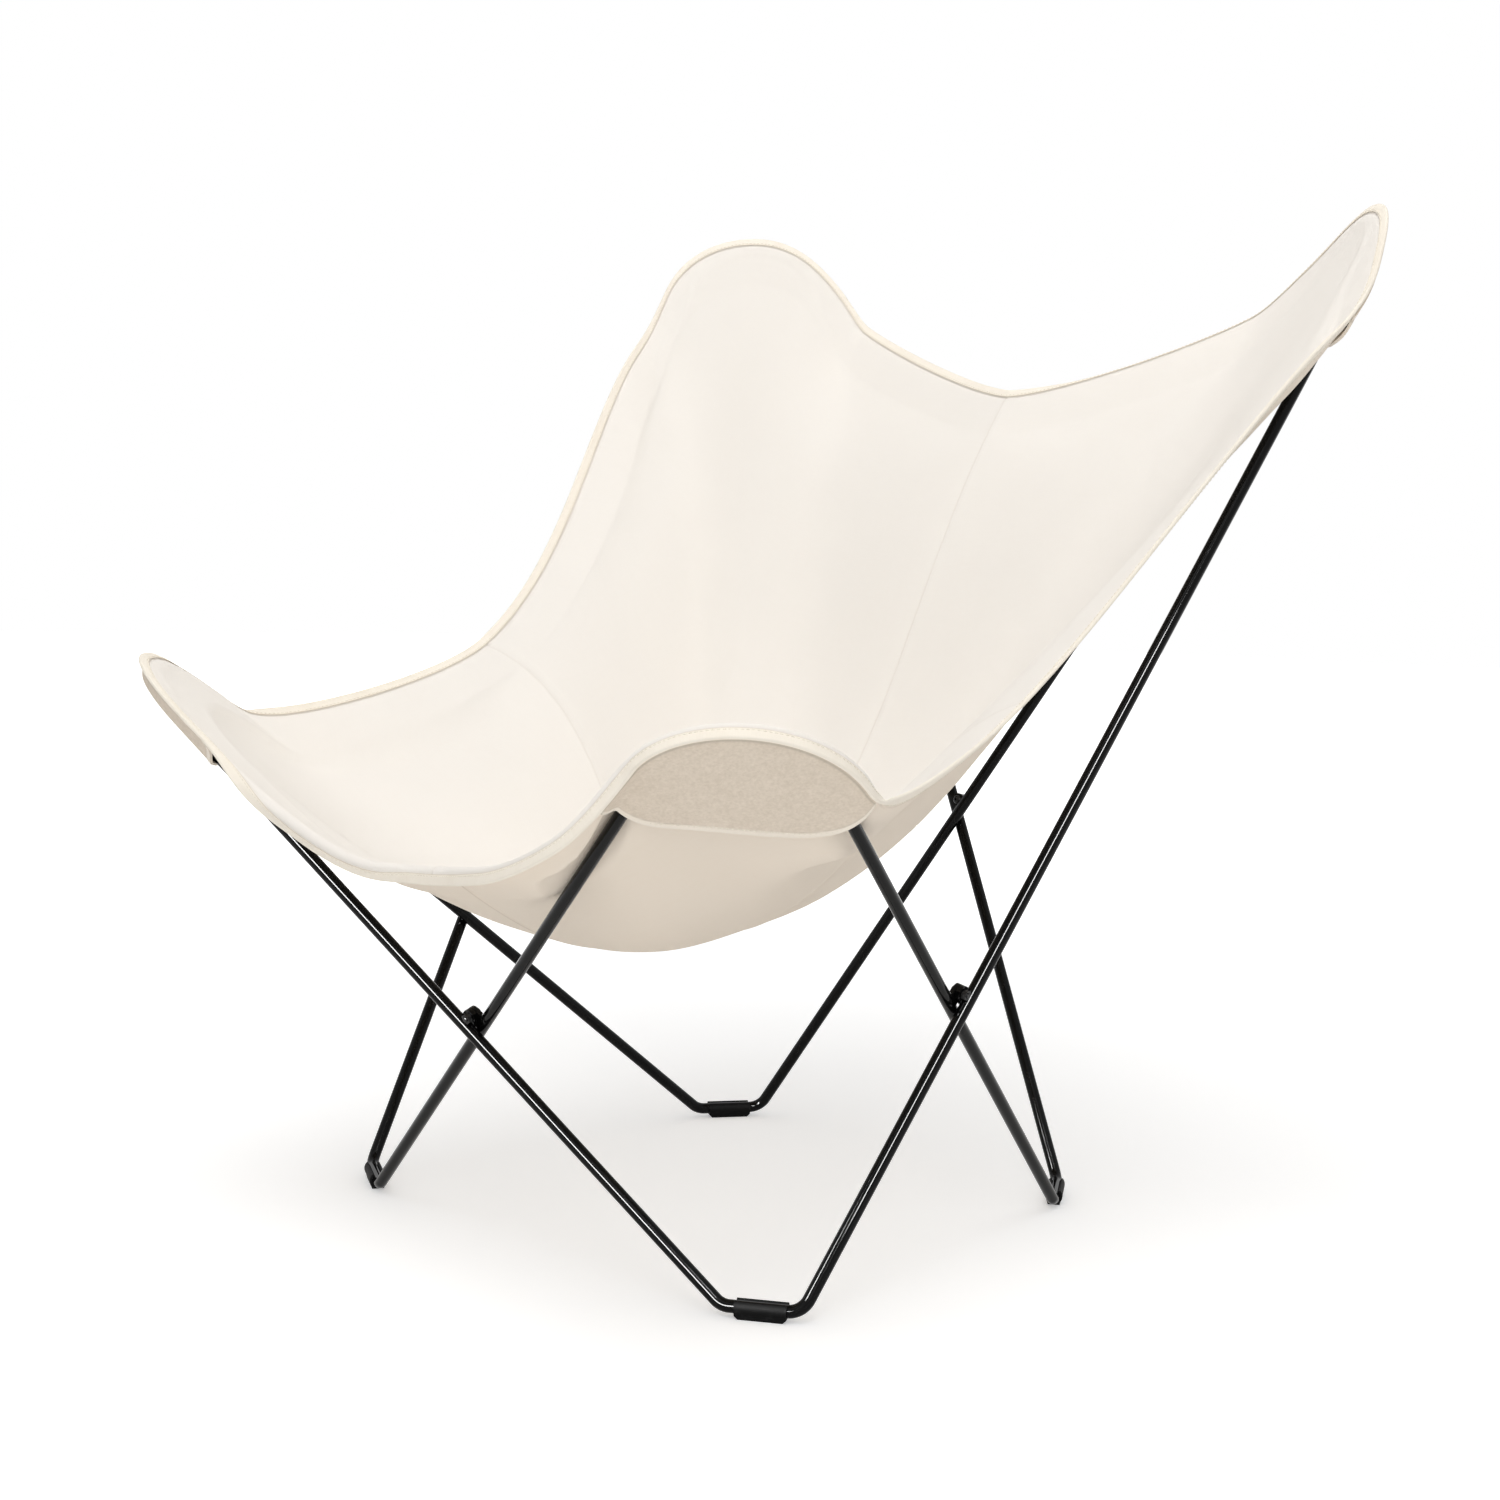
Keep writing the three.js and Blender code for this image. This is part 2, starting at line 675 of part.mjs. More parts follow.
function rodHeight(place) {
  const fall = mix(clothFall, legFall, smooth(place.b / legFallReach));
  return clothTop - fall * place.distance * place.distance;
}

function softLarger(a, b) {
  return 0.5 * (a + b + Math.hypot(a - b, clothBlend));
}

// Cloth laid over the horn rod: points close to the rod are raised off it towards the sitter
function laidOver(horn, point) {
  const place = againstRod(horn, point);
  const height = rodHeight(place);
  if (height < -clothFade || place.b > ridgeReach) return point;
  const lift = (softLarger(place.n, height) - place.n) * smooth((height + clothFade) / clothFade);
  return along(point, horn.n, lift);
}

// Rows of a panel: even steps from the seat centre, then close to the rim, then over the hem
function panelColumn(quarter, v) {
  const ray = rayOf(quarter, v);
  const shares = rimRows.map((distance) => 1 - distance / (3 * ray.handle));
  const inner = Array.from({ length: panelRows }, (_, i) => shares[0] * i / panelRows);
  const body = [...inner, ...shares].map((u) => cubic(seatCentre, ray.p1, ray.p2, ray.end, u));
  const hem = Array.from({ length: hemRows }, (_, i) => hemPoint(ray, (i + 1) / hemRows));
  return [...body, ...hem];
}

// Ring of all rays, once round the sling from the front middle over the sitter's left side
const quarters = {};
const ringOrder = ['front_left', 'back_left', 'back_right', 'front_right'];
for (const name of ringOrder) quarters[name] = quarterOf(name.endsWith('left') ? 1 : -1, name.startsWith('front'));

const ringPlaces = ringOrder.flatMap((name, turn) => {
  const steps = Array.from({ length: panelColumns }, (_, j) => (turn % 2 ? panelColumns - j : j));
  return steps.map((j) => ({ name, v: j / panelColumns }));
});

function ringAt(k) {
  return (k + ringPlaces.length) % ringPlaces.length;
}

// Mean of a ring of points round place k, weighted by a bell curve of the given width in columns
function easedPoint(points, k, width) {
  const reach = Math.ceil(3 * width);
  const sum = vec(0, 0, 0);
  let total = 0;
  for (let d = -reach; d <= reach; d += 1) {
    const weight = Math.exp(-d * d / (2 * width * width));
    sum.addScaledVector(points[ringAt(k + d)], weight);
    total += weight;
  }
  return sum.divideScalar(total);
}

// Inner rows are eased round the ring, then moved back so that the four seams keep their own curves
function easedRow(points, width) {
  const eased = points.map((_, k) => easedPoint(points, k, width));
  const misses = points.map((point, k) => point.clone().sub(eased[k]));
  return eased.map((point, k) => {
    const before = Math.floor(k / panelColumns) * panelColumns;
    const share = Math.cos((k - before) / panelColumns * Math.PI / 2) ** 2;
    return along(along(point, misses[before], share), misses[ringAt(before + panelColumns)], 1 - share);
  });
}

const rawRing = ringPlaces.map((place) => panelColumn(quarters[place.name], place.v));
const slingRows = rawRing[0].map((_, i) => {
  const row = rawRing.map((column) => column[i]);
  const width = easeSpread * (1 - (i / panelRows) ** 3);
  return i > 0 && i < panelRows ? easedRow(row, width) : row;
});

function panelGrid(name) {
  const turn = ringOrder.indexOf(name);
  const columns = Array.from({ length: panelColumns + 1 }, (_, j) => {
    return ringAt(turn % 2 ? (turn + 1) * panelColumns - j : turn * panelColumns + j);
  });
  return slingRows.map((row) => columns.map((k) => laidOver(quarters[name].horn, row[k])));
}

// Grid normals on the sitter's side, from the differences across each point
function gridNormals(grid, inward) {
  const [rows, columns] = [grid.length, grid[0].length];
  return grid.map((row, i) => row.map((_, j) => {
    const du = grid[Math.min(rows - 1, i + 1)][j].clone().sub(grid[Math.max(0, i - 1)][j]);
    const dv = grid[i][Math.min(columns - 1, j + 1)].clone().sub(grid[i][Math.max(0, j - 1)]);
    return crossUnit(du, dv).multiplyScalar(inward);
  }));
}

// Panels: neighbours share the seam normals and stand a gap apart along the seams
for (const name of ringOrder) {
  const quarter = quarters[name];
  quarter.grid = panelGrid(name);
  quarter.normals = gridNormals(quarter.grid, quarter.front === quarter.side > 0 ? 1 : -1);
}

function neighbourOf(name) {
  return name.startsWith('front') ? name.replace('front', 'back') : name.replace('back', 'front');
}

function slingPanel(name) {
  const { grid, normals, side } = quarters[name];
  const other = quarters[neighbourOf(name)];
  const last = panelColumns;
  const floor = vec(0, -seatTilt, 1).normalize();
  const moved = grid.map((row) => row.map((p) => p.clone()));
  const facing = normals.map((row) => row.map((p) => p.clone()));
  for (let i = 0; i < grid.length; i += 1) {
    const seam = facing[i][0];
    seam.x = 0;
    seam.normalize();
    facing[i][last].add(other.normals[i][last]).normalize();
    if (i === 0) facing[i].fill(floor);
    const k = Math.max(1, i);
    const run = towards(grid[k - 1][last], grid[k][last]);
    const into = crossUnit(run, facing[i][last]);
    into.multiplyScalar(Math.sign(into.dot(towards(grid[k][last], grid[k][last - 1]))));
    moved[i][0].x += side * gap / 2;
    moved[i][last].addScaledVector(into, gap / 2);
    if (i === 0) moved[i][0].addScaledVector(into, gap / 2);
  }
  return sheetSolid(moved, facing, clothThickness, true);
}

// Pocket flap: from the rim, over the outside of the horn rod, down to its own hem
function pocketFlap(name) {
  const quarter = quarters[name];
  const { horn, front } = quarter;
  const inset = flapInset * deg / (2 * quarter.angle) * (1 - 2 * edgeShare);
  const bow = front ? flapFrontBow : flapBackBow;
  const rims = Array.from({ length: flapColumns + 1 }, (_, j) => {
    const v = mix(edgeShare + inset, 1 - edgeShare - inset, j / flapColumns);
    return againstRod(horn, laidOver(horn, hemPoint(rayOf(quarter, v), flapEdge)));
  });
  const [first, last] = [rims[0], rims[flapColumns]];
  const slack = clothThickness + flapPlay;
  const grid = flapRows.map((s) => rims.map((rim, j) => {
    const t = j / flapColumns;
    const drop = bow * (1 - Math.abs(2 * t - 1) ** flapPower + flapTail);
    const w = mix(rim.w, mix(first.w, last.w, t), s);
    const b = mix(rim.b, mix(first.b, last.b, t) + drop, s);
    const { distance } = againstRod(horn, hornPointAt(horn, w, b, 0));
    const share = smooth((rim.distance - distance) / (rim.distance - flapTuck));
    return hornPointAt(horn, w, b, -mix(slack - rim.n, clothTop, share));
  }));
  return sheetSolid(grid, gridNormals(grid, 1), clothThickness, false);
}

// Binding: one closed strip round the whole outline, just past the panel edges
function edgeBinding() {
  const edges = ringPlaces.map((place) => {
    const quarter = quarters[place.name];
    const point = quarter.grid[quarter.grid.length - 1][Math.round(place.v * panelColumns)];
    return { point, out: hemTangent(rayOf(quarter, place.v)) };
  });
  const sections = edges.map((edge, i) => {
    const before = edges[(i + edges.length - 1) % edges.length].point;
    const after = edges[(i + 1) % edges.length].point;
    const run = towards(before, after);
    const out = along(edge.out, run, -edge.out.dot(run)).normalize();
    const thick = crossUnit(out, run);
    const centre = along(edge.point, out, gap + flapPlay + bindingWidth / 2);
    return [[-1, -1], [1, -1], [1, 1], [-1, 1]].map(([x, y]) => {
      return along(along(centre, out, x * bindingWidth / 2), thick, y * bindingDepth / 2);
    });
  });
  return ringSolid(sections);
}

// Assembly
const part = new THREE.Group();
part.name = 'butterfly_sling_chair';

function addPiece(name, geometry, color, roughness, metalness) {
  const bare = geometry;
  bare.deleteAttribute('normal');
  bare.deleteAttribute('uv');
  const merged = mergeVertices(bare, 1e-4);
  merged.computeVertexNormals();
  const mesh = new THREE.Mesh(merged, new THREE.MeshStandardMaterial({ color, roughness, metalness }));
  mesh.name = name;
  part.add(mesh);
}

const black = 0x141415;
const canvas = 0xefe6d6;

addPiece('rod_loop_front_left', frameLoop(1), black, 0.3, 0.4);
addPiece('rod_loop_front_right', frameLoop(-1), black, 0.3, 0.4);
for (const end of ['front', 'back']) {
  for (const hand of ['left', 'right']) {
    const sleeve = footSleeve(hand === 'left' ? 1 : -1, end === 'front');
    addPiece(`foot_sleeve_${end}_${hand}`, sleeve, 0x1b1b1c, 0.7, 0);
  }
}
for (const place of crossingPlaces) {
  addPiece(`crossing_lug_${place.name}_outer`, crossingLug(place, true), black, 0.35, 0.4);
  addPiece(`crossing_lug_${place.name}_inner`, crossingLug(place, false), black, 0.35, 0.4);
  addPiece(`crossing_bolt_${place.name}`, crossingBolt(place), 0x1a1a1b, 0.35, 0.8);
  addPiece(`crossing_nut_${place.name}`, crossingNut(place), 0x1a1a1b, 0.35, 0.8);
}
for (const name of Object.keys(quarters)) {
  addPiece(`sling_panel_${name}`, slingPanel(name), canvas, 0.9, 0);
}
for (const name of Object.keys(quarters)) {
  addPiece(`pocket_flap_${name}`, pocketFlap(name), canvas, 0.95, 0);
}
addPiece('edge_binding', edgeBinding(), canvas, 0.85, 0);

export default part;
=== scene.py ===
import math
import bpy
import numpy as np
from mathutils import Matrix


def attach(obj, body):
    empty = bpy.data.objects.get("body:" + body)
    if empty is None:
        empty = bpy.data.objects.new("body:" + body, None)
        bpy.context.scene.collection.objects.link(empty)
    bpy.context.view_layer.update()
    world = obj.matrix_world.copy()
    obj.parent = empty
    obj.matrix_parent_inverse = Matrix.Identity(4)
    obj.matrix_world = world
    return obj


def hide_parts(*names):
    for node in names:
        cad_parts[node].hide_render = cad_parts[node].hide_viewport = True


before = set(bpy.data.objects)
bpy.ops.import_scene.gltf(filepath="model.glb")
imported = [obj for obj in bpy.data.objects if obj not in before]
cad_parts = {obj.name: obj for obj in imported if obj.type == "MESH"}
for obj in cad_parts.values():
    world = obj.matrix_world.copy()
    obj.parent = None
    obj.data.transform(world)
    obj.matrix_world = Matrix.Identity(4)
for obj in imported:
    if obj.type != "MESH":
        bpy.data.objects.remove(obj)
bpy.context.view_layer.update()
scene = bpy.context.scene
scene.view_settings.view_transform = "Standard"
mm = 0.001  # shapes below are worked out in millimetres
print("frame loaded,", len(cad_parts), "solids")


# small maths used by all the shapes

def unit(a):  # a vector divided by its own length
    return a / np.maximum(np.linalg.norm(a, axis=-1, keepdims=True), 1e-9)


def smooth(t):  # 3 t^2 - 2 t^3 with t held between 0 and 1
    t = np.clip(t, 0.0, 1.0)
    return t * t * (3.0 - 2.0 * t)


def mix(a, b, t):  # a at t 0, b at t 1
    return a + (b - a) * t


def bell(d, width):  # exp(-(d / width)^2)
    return np.exp(-(d / width) ** 2)


def dot(a, b):  # sum of the products along the last axis
    return (a * b).sum(-1)


def sweepLength(points, axis):  # running length along one axis of a grid, starting at 0
    step = np.linalg.norm(np.diff(points, axis=axis), axis=-1)
    start = np.zeros_like(np.take(step, [0], axis=axis))
    return np.concatenate([start, np.cumsum(step, axis=axis)], axis=axis)


# meshes from whole arrays

def gridFaces(rows, columns, closeRows=False, closeColumns=False):
    # quads between neighbours of a grid numbered row by row, joined round where asked
    i = np.arange(rows if closeRows else rows - 1)[:, None]
    j = np.arange(columns if closeColumns else columns - 1)[None]
    a, b = i * columns + j, i * columns + (j + 1) % columns
    c, d = (i + 1) % rows * columns + (j + 1) % columns, (i + 1) % rows * columns + j
    return np.stack(np.broadcast_arrays(a, b, c, d), -1).reshape(-1, 4)


def outward(points, quads, tris):
    # signed volume as the sum of a . (b x c) over all triangles; faces are turned where it is below 0
    fans = np.concatenate([quads[:, [0, 1, 2]], quads[:, [0, 2, 3]], tris])
    a, b, c = points[fans[:, 0]], points[fans[:, 1]], points[fans[:, 2]]
    if dot(a, np.cross(b, c)).sum() < 0:
        return quads[:, ::-1], tris[:, ::-1]
    return quads, tris


noTris = np.zeros((0, 3), int)
clothSharp = 50.0  # cloth edges that turn by more degrees than this stay hard


def putMesh(name, points, quads, tris=noTris, material=None, slot=None, sharp=40.0, maps=None, values=None,
            closed=True):
    # points in millimetres go to one mesh object at the origin, with uv maps and point values by name
    if closed:
        quads, tris = outward(points, quads, tris)
    mesh = bpy.data.meshes.new(name)
    corners = np.concatenate([quads.ravel(), tris.ravel()]).astype(np.int32)
    starts = np.concatenate([np.arange(len(quads)) * 4, len(quads) * 4 + np.arange(len(tris)) * 3])
    mesh.vertices.add(len(points))
    mesh.vertices.foreach_set("co", (points * mm).astype(np.float32).ravel())
    mesh.loops.add(len(corners))
    mesh.loops.foreach_set("vertex_index", corners)
    mesh.polygons.add(len(starts))
    mesh.polygons.foreach_set("loop_start", starts.astype(np.int32))
    mesh.polygons.foreach_set("use_smooth", np.ones(len(starts), bool))
    for key, flat in (maps or {}).items():
        layer = mesh.uv_layers.new(name=key)
        layer.data.foreach_set("uv", (flat[corners] * mm).astype(np.float32).ravel())
    for key, value in (values or {}).items():
        layer = mesh.attributes.new(key, "FLOAT", "POINT")
        layer.data.foreach_set("value", value.astype(np.float32).ravel())
    mesh.update(calc_edges=True)
    mesh.validate()
    mesh.set_sharp_from_angle(angle=math.radians(sharp))
    made = bpy.data.objects.new(name, mesh)
    scene.collection.objects.link(made)
    if material:
        mesh.materials.append(material)
    if slot:
        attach(made, "root")
    return made


def gridNormals(sheet, wrap=False):
    # cross product of the differences across each point, rows first
    if wrap:
        across = np.roll(sheet, -1, 1) - np.roll(sheet, 1, 1)
    else:
        across = np.gradient(sheet, axis=1)
    return unit(np.cross(np.gradient(sheet, axis=0), across))


def flattened(grid, tip):  # points or values of a sheet row by row; with a tip the first row counts once
    rest = grid.shape[2:]
    if tip:
        return np.concatenate([grid[:1, :1].reshape(1, *rest), grid[1:].reshape(-1, *rest)])
    return grid.reshape(-1, *rest)


def clothShell(sheet, normals, thickness, tip=False):
    # two layers half a thickness each side of the sheet, joined round the edge
    # with a tip the first row is one point
    rows, columns = sheet.shape[:2]
    half = 0.5 * (thickness[..., None] if np.ndim(thickness) else thickness)
    flat = [flattened(layer, tip) for layer in (sheet + normals * half, sheet - normals * half)]
    count = len(flat[0])
    first = 1 if tip else 0
    number = np.arange((rows - first) * columns).reshape(-1, columns) + first
    faces = number.ravel()[gridFaces(rows - first, columns)]
    rim = [number[-1], number[:, 0][::-1], number[:, -1]] + ([] if tip else [number[0][::-1]])
    walls = [np.stack([r[:-1], r[1:], r[1:] + count, r[:-1] + count], -1)[:, ::-1] for r in rim]
    tris = noTris
    if tip:
        ring = number[0]
        fan = np.stack([np.zeros(columns - 1, int), ring[:-1], ring[1:]], -1)
        tris = np.concatenate([fan, fan[:, ::-1] + count])
        ends = [(0, ring[0]), (ring[-1], 0)]
        walls += [np.array([[a, b, b + count, a + count]]) for a, b in ends]
    quads = np.concatenate([faces[:, ::-1], faces + count] + walls)
    return np.concatenate(flat), quads, tris


def shellValues(grid, tip=False):  # a value or map of the sheet, repeated for both layers
    flat = flattened(grid, tip)
    return np.concatenate([flat, flat])


def sheetArea(sheet):  # sum over the cells of the cross product of two sides, in square metres
    down, across = np.diff(sheet, axis=0)[:, :-1], np.diff(sheet, axis=1)[:-1]
    return float(np.linalg.norm(np.cross(down, across), axis=-1).sum()) * mm * mm


# shader nodes as Python expressions

class Wire:
    def __init__(self, tree, socket=None):
        self.tree, self.socket = tree, socket

    # any node: settings first, then the values or links of its sockets
    def add(self, kind, settings=None, sockets=None, out=0):
        node = self.tree.nodes.new(kind)
        for key, value in (settings or {}).items():
            setattr(node, key, value)
        for key, value in (sockets or {}).items():
            if isinstance(value, Wire):
                self.tree.links.new(value.socket, node.inputs[key])
            else:
                node.inputs[key].default_value = value
        return Wire(self.tree, node.outputs[out] if node.outputs else None)

    def output(self, key):  # another output of the same node
        return Wire(self.tree, self.socket.node.outputs[key])

    def maths(self, operation, a, b=0.0):  # one operation on two values
        return self.add("ShaderNodeMath", {"operation": operation}, {0: a, 1: b})

    def __add__(self, other):
        return self.maths("ADD", self, other)

    def __radd__(self, other):
        return self.maths("ADD", other, self)

    def __sub__(self, other):
        return self.maths("SUBTRACT", self, other)

    def __rsub__(self, other):
        return self.maths("SUBTRACT", other, self)

    def __mul__(self, other):
        return self.maths("MULTIPLY", self, other)

    def __rmul__(self, other):
        return self.maths("MULTIPLY", other, self)

    def swing(self, width):  # a value that is 0.5 on average, moved to 0 and times a width
        return (self - 0.5) * width

    def above(self, level):  # 1 where the value is over the level
        return self.maths("GREATER_THAN", self, level)

    def between(self, low, high):  # smooth step from 0 at low to 1 at high
        settings = {"interpolation_type": "SMOOTHSTEP"}
        return self.add("ShaderNodeMapRange", settings, {0: self, 1: low, 2: high})

    def blend(self, a, b):  # this value as the share of colour b over colour a
        return self.add("ShaderNodeMix", {"data_type": "RGBA"}, {0: self, 6: a, 7: b}, out=2)

    def stretched(self, x, y):  # flat coordinates times a size per axis
        return self.add("ShaderNodeVectorMath", {"operation": "MULTIPLY"}, {0: self, 1: (x, y, 1.0)})

    def noise(self, scale, detail=2.0, roughness=0.5):  # noise read at these coordinates, 0.5 on average
        sockets = {"Vector": self, "Scale": scale, "Detail": detail, "Roughness": roughness}
        return self.add("ShaderNodeTexNoise", {}, sockets)

    def relief(self, strength, depth):  # this value as a height in metres
        return self.add("ShaderNodeBump", {}, {"Strength": strength, "Distance": depth, "Height": self})


def newFinish(name):  # an empty material and the wire that adds its nodes
    material = bpy.data.materials.new(name)
    material.use_nodes = True
    material.node_tree.nodes.clear()
    return material, Wire(material.node_tree)


def closeFinish(wire, **sockets):  # the shader and the output at the end of a finish
    named = {key.replace("_", " "): value for key, value in sockets.items()}
    shader = wire.add("ShaderNodeBsdfPrincipled", {}, named)
    wire.add("ShaderNodeOutputMaterial", {}, {"Surface": shader})


def closeCloth(wire, look, colour, fibre, bump):  # a cloth's roughness swings with its fibre
    dull, dullSwing = look["roughness"]
    sheen, sheenRoughness = look["sheen"]
    closeFinish(wire, Base_Color=colour, Roughness=dull + fibre.swing(dullSwing), Normal=bump,
                Specular_IOR_Level=look["specular"], Sheen_Weight=sheen, Sheen_Roughness=sheenRoughness)


def grey(level):  # a colour of three equal parts
    return (level, level, level, 1.0)


def objectPlace(wire):  # coordinates of the object itself
    return wire.add("ShaderNodeTexCoord", out=3)


def clothPlace(wire):  # the cloth laid flat, from the piece's own map
    return wire.add("ShaderNodeUVMap", {"uv_map": "clothMap"})


def pointValue(wire, name):  # a value kept at each point of the mesh
    return wire.add("ShaderNodeAttribute", {"attribute_name": name}, out=2)


def seenRays(wire):  # 1 for rays that show the surroundings: from the camera, mirrored or let through
    paths = wire.add("ShaderNodeLightPath")
    seen = wire.maths("MAXIMUM", paths.output("Is Camera Ray"), paths.output("Is Glossy Ray"))
    return wire.maths("MAXIMUM", seen, paths.output("Is Transmission Ray"))


# canvas, flap cloth, binding tape and thread
# noises: scale, detail and roughness; roughness: mean and swing; sheen: weight and roughness

canvasLook = dict(
    # outside: the same canvas with the painted shade and warm bounce light of the underside
    inside=(0.87, 0.825, 0.765, 1.0), outside=(0.85, 0.755, 0.64, 1.0),
    # crease: colour of the painted shade at the seams and the binding's edge
    crease=(0.50, 0.41, 0.32, 1.0), creaseShare=0.55,
    threadPitch=0.0009, threadTone=0.018,
    slubSize=(26.0, 700.0), slubDetail=3.0, slubShares=(0.6, 0.4), slubTone=0.16, slubHeight=1.4,
    mottle=(7.0, 3.0), mottleTone=0.05, toneShare=0.5,
    fleck=(0.30, 0.22, 0.14, 1.0), fleckShare=0.55,
    fleckScale=42.0, fleckSize=(0.010, 0.026), fleckChance=0.965,
    relief=0.55, weaveDepth=0.00016, roughness=(0.86, 0.12), specular=0.08, sheen=(0.04, 0.5),
)
flapLook = dict(
    light=(0.74, 0.65, 0.545, 1.0), dark=(0.62, 0.535, 0.435, 1.0),
    # crease: colour of the painted shadow under the tape's nose and the painted shade at the hem's step
    hem=(0.86, 0.79, 0.69, 1.0), hemShare=0.8, crease=(0.34, 0.30, 0.24, 1.0), creaseShare=0.6,
    nap=(420.0, 4.0, 0.6), pebble=(190.0, 2.0, 0.5), cloud=(40.0, 3.0, 0.55),
    napTone=1.3, pebbleTone=0.6, cloudTone=0.3,
    relief=0.5, napDepth=0.0011, napHeight=0.5, roughness=(0.9, 0.15), specular=0.06, sheen=(0.06, 0.4),
)
tapeLook = dict(
    base=(0.88, 0.815, 0.71, 1.0), worn=(0.82, 0.745, 0.63, 1.0), wornShare=0.1,
    # crease: colour of the painted shade at the tape's edges
    crease=(0.45, 0.36, 0.25, 1.0), creaseShare=0.55,
    wear=(34.0, 3.0, 0.6), wearRange=(0.45, 0.8), wearTone=0.5,
    strandSize=(90.0, 1200.0), strandDetail=2.0, strandTone=0.7,
    relief=0.5, ribPitch=0.0011, ribDepth=0.00012, roughness=(0.78, 0.2), specular=0.08, sheen=(0.04, 0.5),
)
threadLook = dict(
    base=(0.86, 0.80, 0.68, 1.0), shade=(0.66, 0.59, 0.48, 1.0), twist=(1500.0, 2.0), twistRange=(0.35, 0.65),
    roughness=(0.6, 0.3), specular=0.3,
)


def weave(wire, flat, pitch):
    # plain weave: sin of the warp times sin of the weft, so threads pass over and under by turns
    split = wire.add("ShaderNodeSeparateXYZ", {}, {0: flat})
    turn = 2.0 * math.pi / pitch
    return wire.maths("SINE", split * turn) * wire.maths("SINE", split.output(1) * turn)


def canvasFinish():
    # a colour for each side, the outside one darker and warmer as painted shade and warm bounce light of the
    # underside; toned by slubs, mottle and threads, with seed flecks; painted shade at the seams and the
    # binding's edge
    look = canvasLook
    material, wire = newFinish("naturalCanvas")
    flat, place = clothPlace(wire), objectPlace(wire)
    outer, creased = pointValue(wire, "outerFace"), pointValue(wire, "creaseShade")
    threads = weave(wire, flat, look["threadPitch"])
    along, across = look["slubSize"]
    warpShare, weftShare = look["slubShares"]
    slubs = (flat.stretched(along, across).noise(1.0, look["slubDetail"]) * warpShare
             + flat.stretched(across, along).noise(1.0, look["slubDetail"]) * weftShare)
    mottle = place.noise(*look["mottle"])
    # the outer side takes the painted shade and warm bounce light of the underside
    face = outer.blend(look["inside"], look["outside"])
    tone = slubs.swing(look["slubTone"]) + mottle.swing(look["mottleTone"]) + threads * look["threadTone"]
    level = wire.maths("MAXIMUM", tone + 0.5, 0.0)
    shade = wire.add("ShaderNodeCombineColor", {}, {0: level, 1: level, 2: level})
    toned = wire.add("ShaderNodeMix", {"data_type": "RGBA", "blend_type": "OVERLAY"},
                     {0: look["toneShare"], 6: face, 7: shade}, out=2)
    cells = wire.add("ShaderNodeTexVoronoi", {}, {"Vector": flat, "Scale": look["fleckScale"]})
    chance = wire.add("ShaderNodeSeparateColor", {}, {0: cells.output("Color")})
    flecks = (1.0 - cells.between(*look["fleckSize"])) * chance.above(look["fleckChance"])
    specked = (flecks * look["fleckShare"]).blend(toned, look["fleck"])
    # painted shade at the seam dips and the binding's edge, by the creaseShade value
    colour = (creased * look["creaseShare"]).blend(specked, look["crease"])
    bump = (threads + slubs * look["slubHeight"]).relief(look["relief"], look["weaveDepth"])
    closeCloth(wire, look, colour, slubs, bump)
    return material


def flapFinish():
    # three noises added up choose between two browns; the folded hem is lighter; painted shadow under the
    # tape's nose and painted shade at the hem's step
    look = flapLook
    material, wire = newFinish("brushedPocketCloth")
    place = objectPlace(wire)
    creased, hemmed = pointValue(wire, "creaseShade"), pointValue(wire, "hemStrip")
    nap, pebble, cloud = (place.noise(*look[key]) for key in ("nap", "pebble", "cloud"))
    tone = nap.swing(look["napTone"]) + pebble.swing(look["pebbleTone"]) + cloud.swing(look["cloudTone"])
    brushed = (tone + 0.5).between(0.0, 1.0).blend(look["dark"], look["light"])
    body = (hemmed * look["hemShare"]).blend(brushed, look["hem"])
    colour = (creased * look["creaseShare"]).blend(body, look["crease"])
    bump = (nap * look["napHeight"] + pebble).relief(look["relief"], look["napDepth"])
    closeCloth(wire, look, colour, nap, bump)
    return material


def tapeFinish():
    # wear and long strands choose between two tones, over a ribbed weave; painted shade where the tape's
    # edges lie on the cloth
    look = tapeLook
    material, wire = newFinish("bindingTape")
    flat, place = clothPlace(wire), objectPlace(wire)
    creased = pointValue(wire, "creaseShade")
    ribs = weave(wire, flat, look["ribPitch"])
    wear = place.noise(*look["wear"]).between(*look["wearRange"])
    strands = flat.stretched(*look["strandSize"]).noise(1.0, look["strandDetail"])
    share = wear * look["wearTone"] + strands.swing(look["strandTone"]) + look["wornShare"]
    colour = (creased * look["creaseShare"]).blend(share.blend(look["base"], look["worn"]), look["crease"])
    bump = (ribs + strands).relief(look["relief"], look["ribDepth"])
    closeCloth(wire, look, colour, strands, bump)
    return material


def threadFinish():
    # a fine noise for the twist chooses between two shades
    look = threadLook
    material, wire = newFinish("sewingThread")
    twist = objectPlace(wire).noise(*look["twist"])
    colour = twist.between(*look["twistRange"]).blend(look["shade"], look["base"])
    dull, dullSwing = look["roughness"]
    closeFinish(wire, Base_Color=colour, Roughness=dull + twist.swing(dullSwing),
                Specular_IOR_Level=look["specular"])
    return material


# painted rod, moulded sleeves and blackened fasteners
# roughness: mean, swing of the grain and what a patch adds

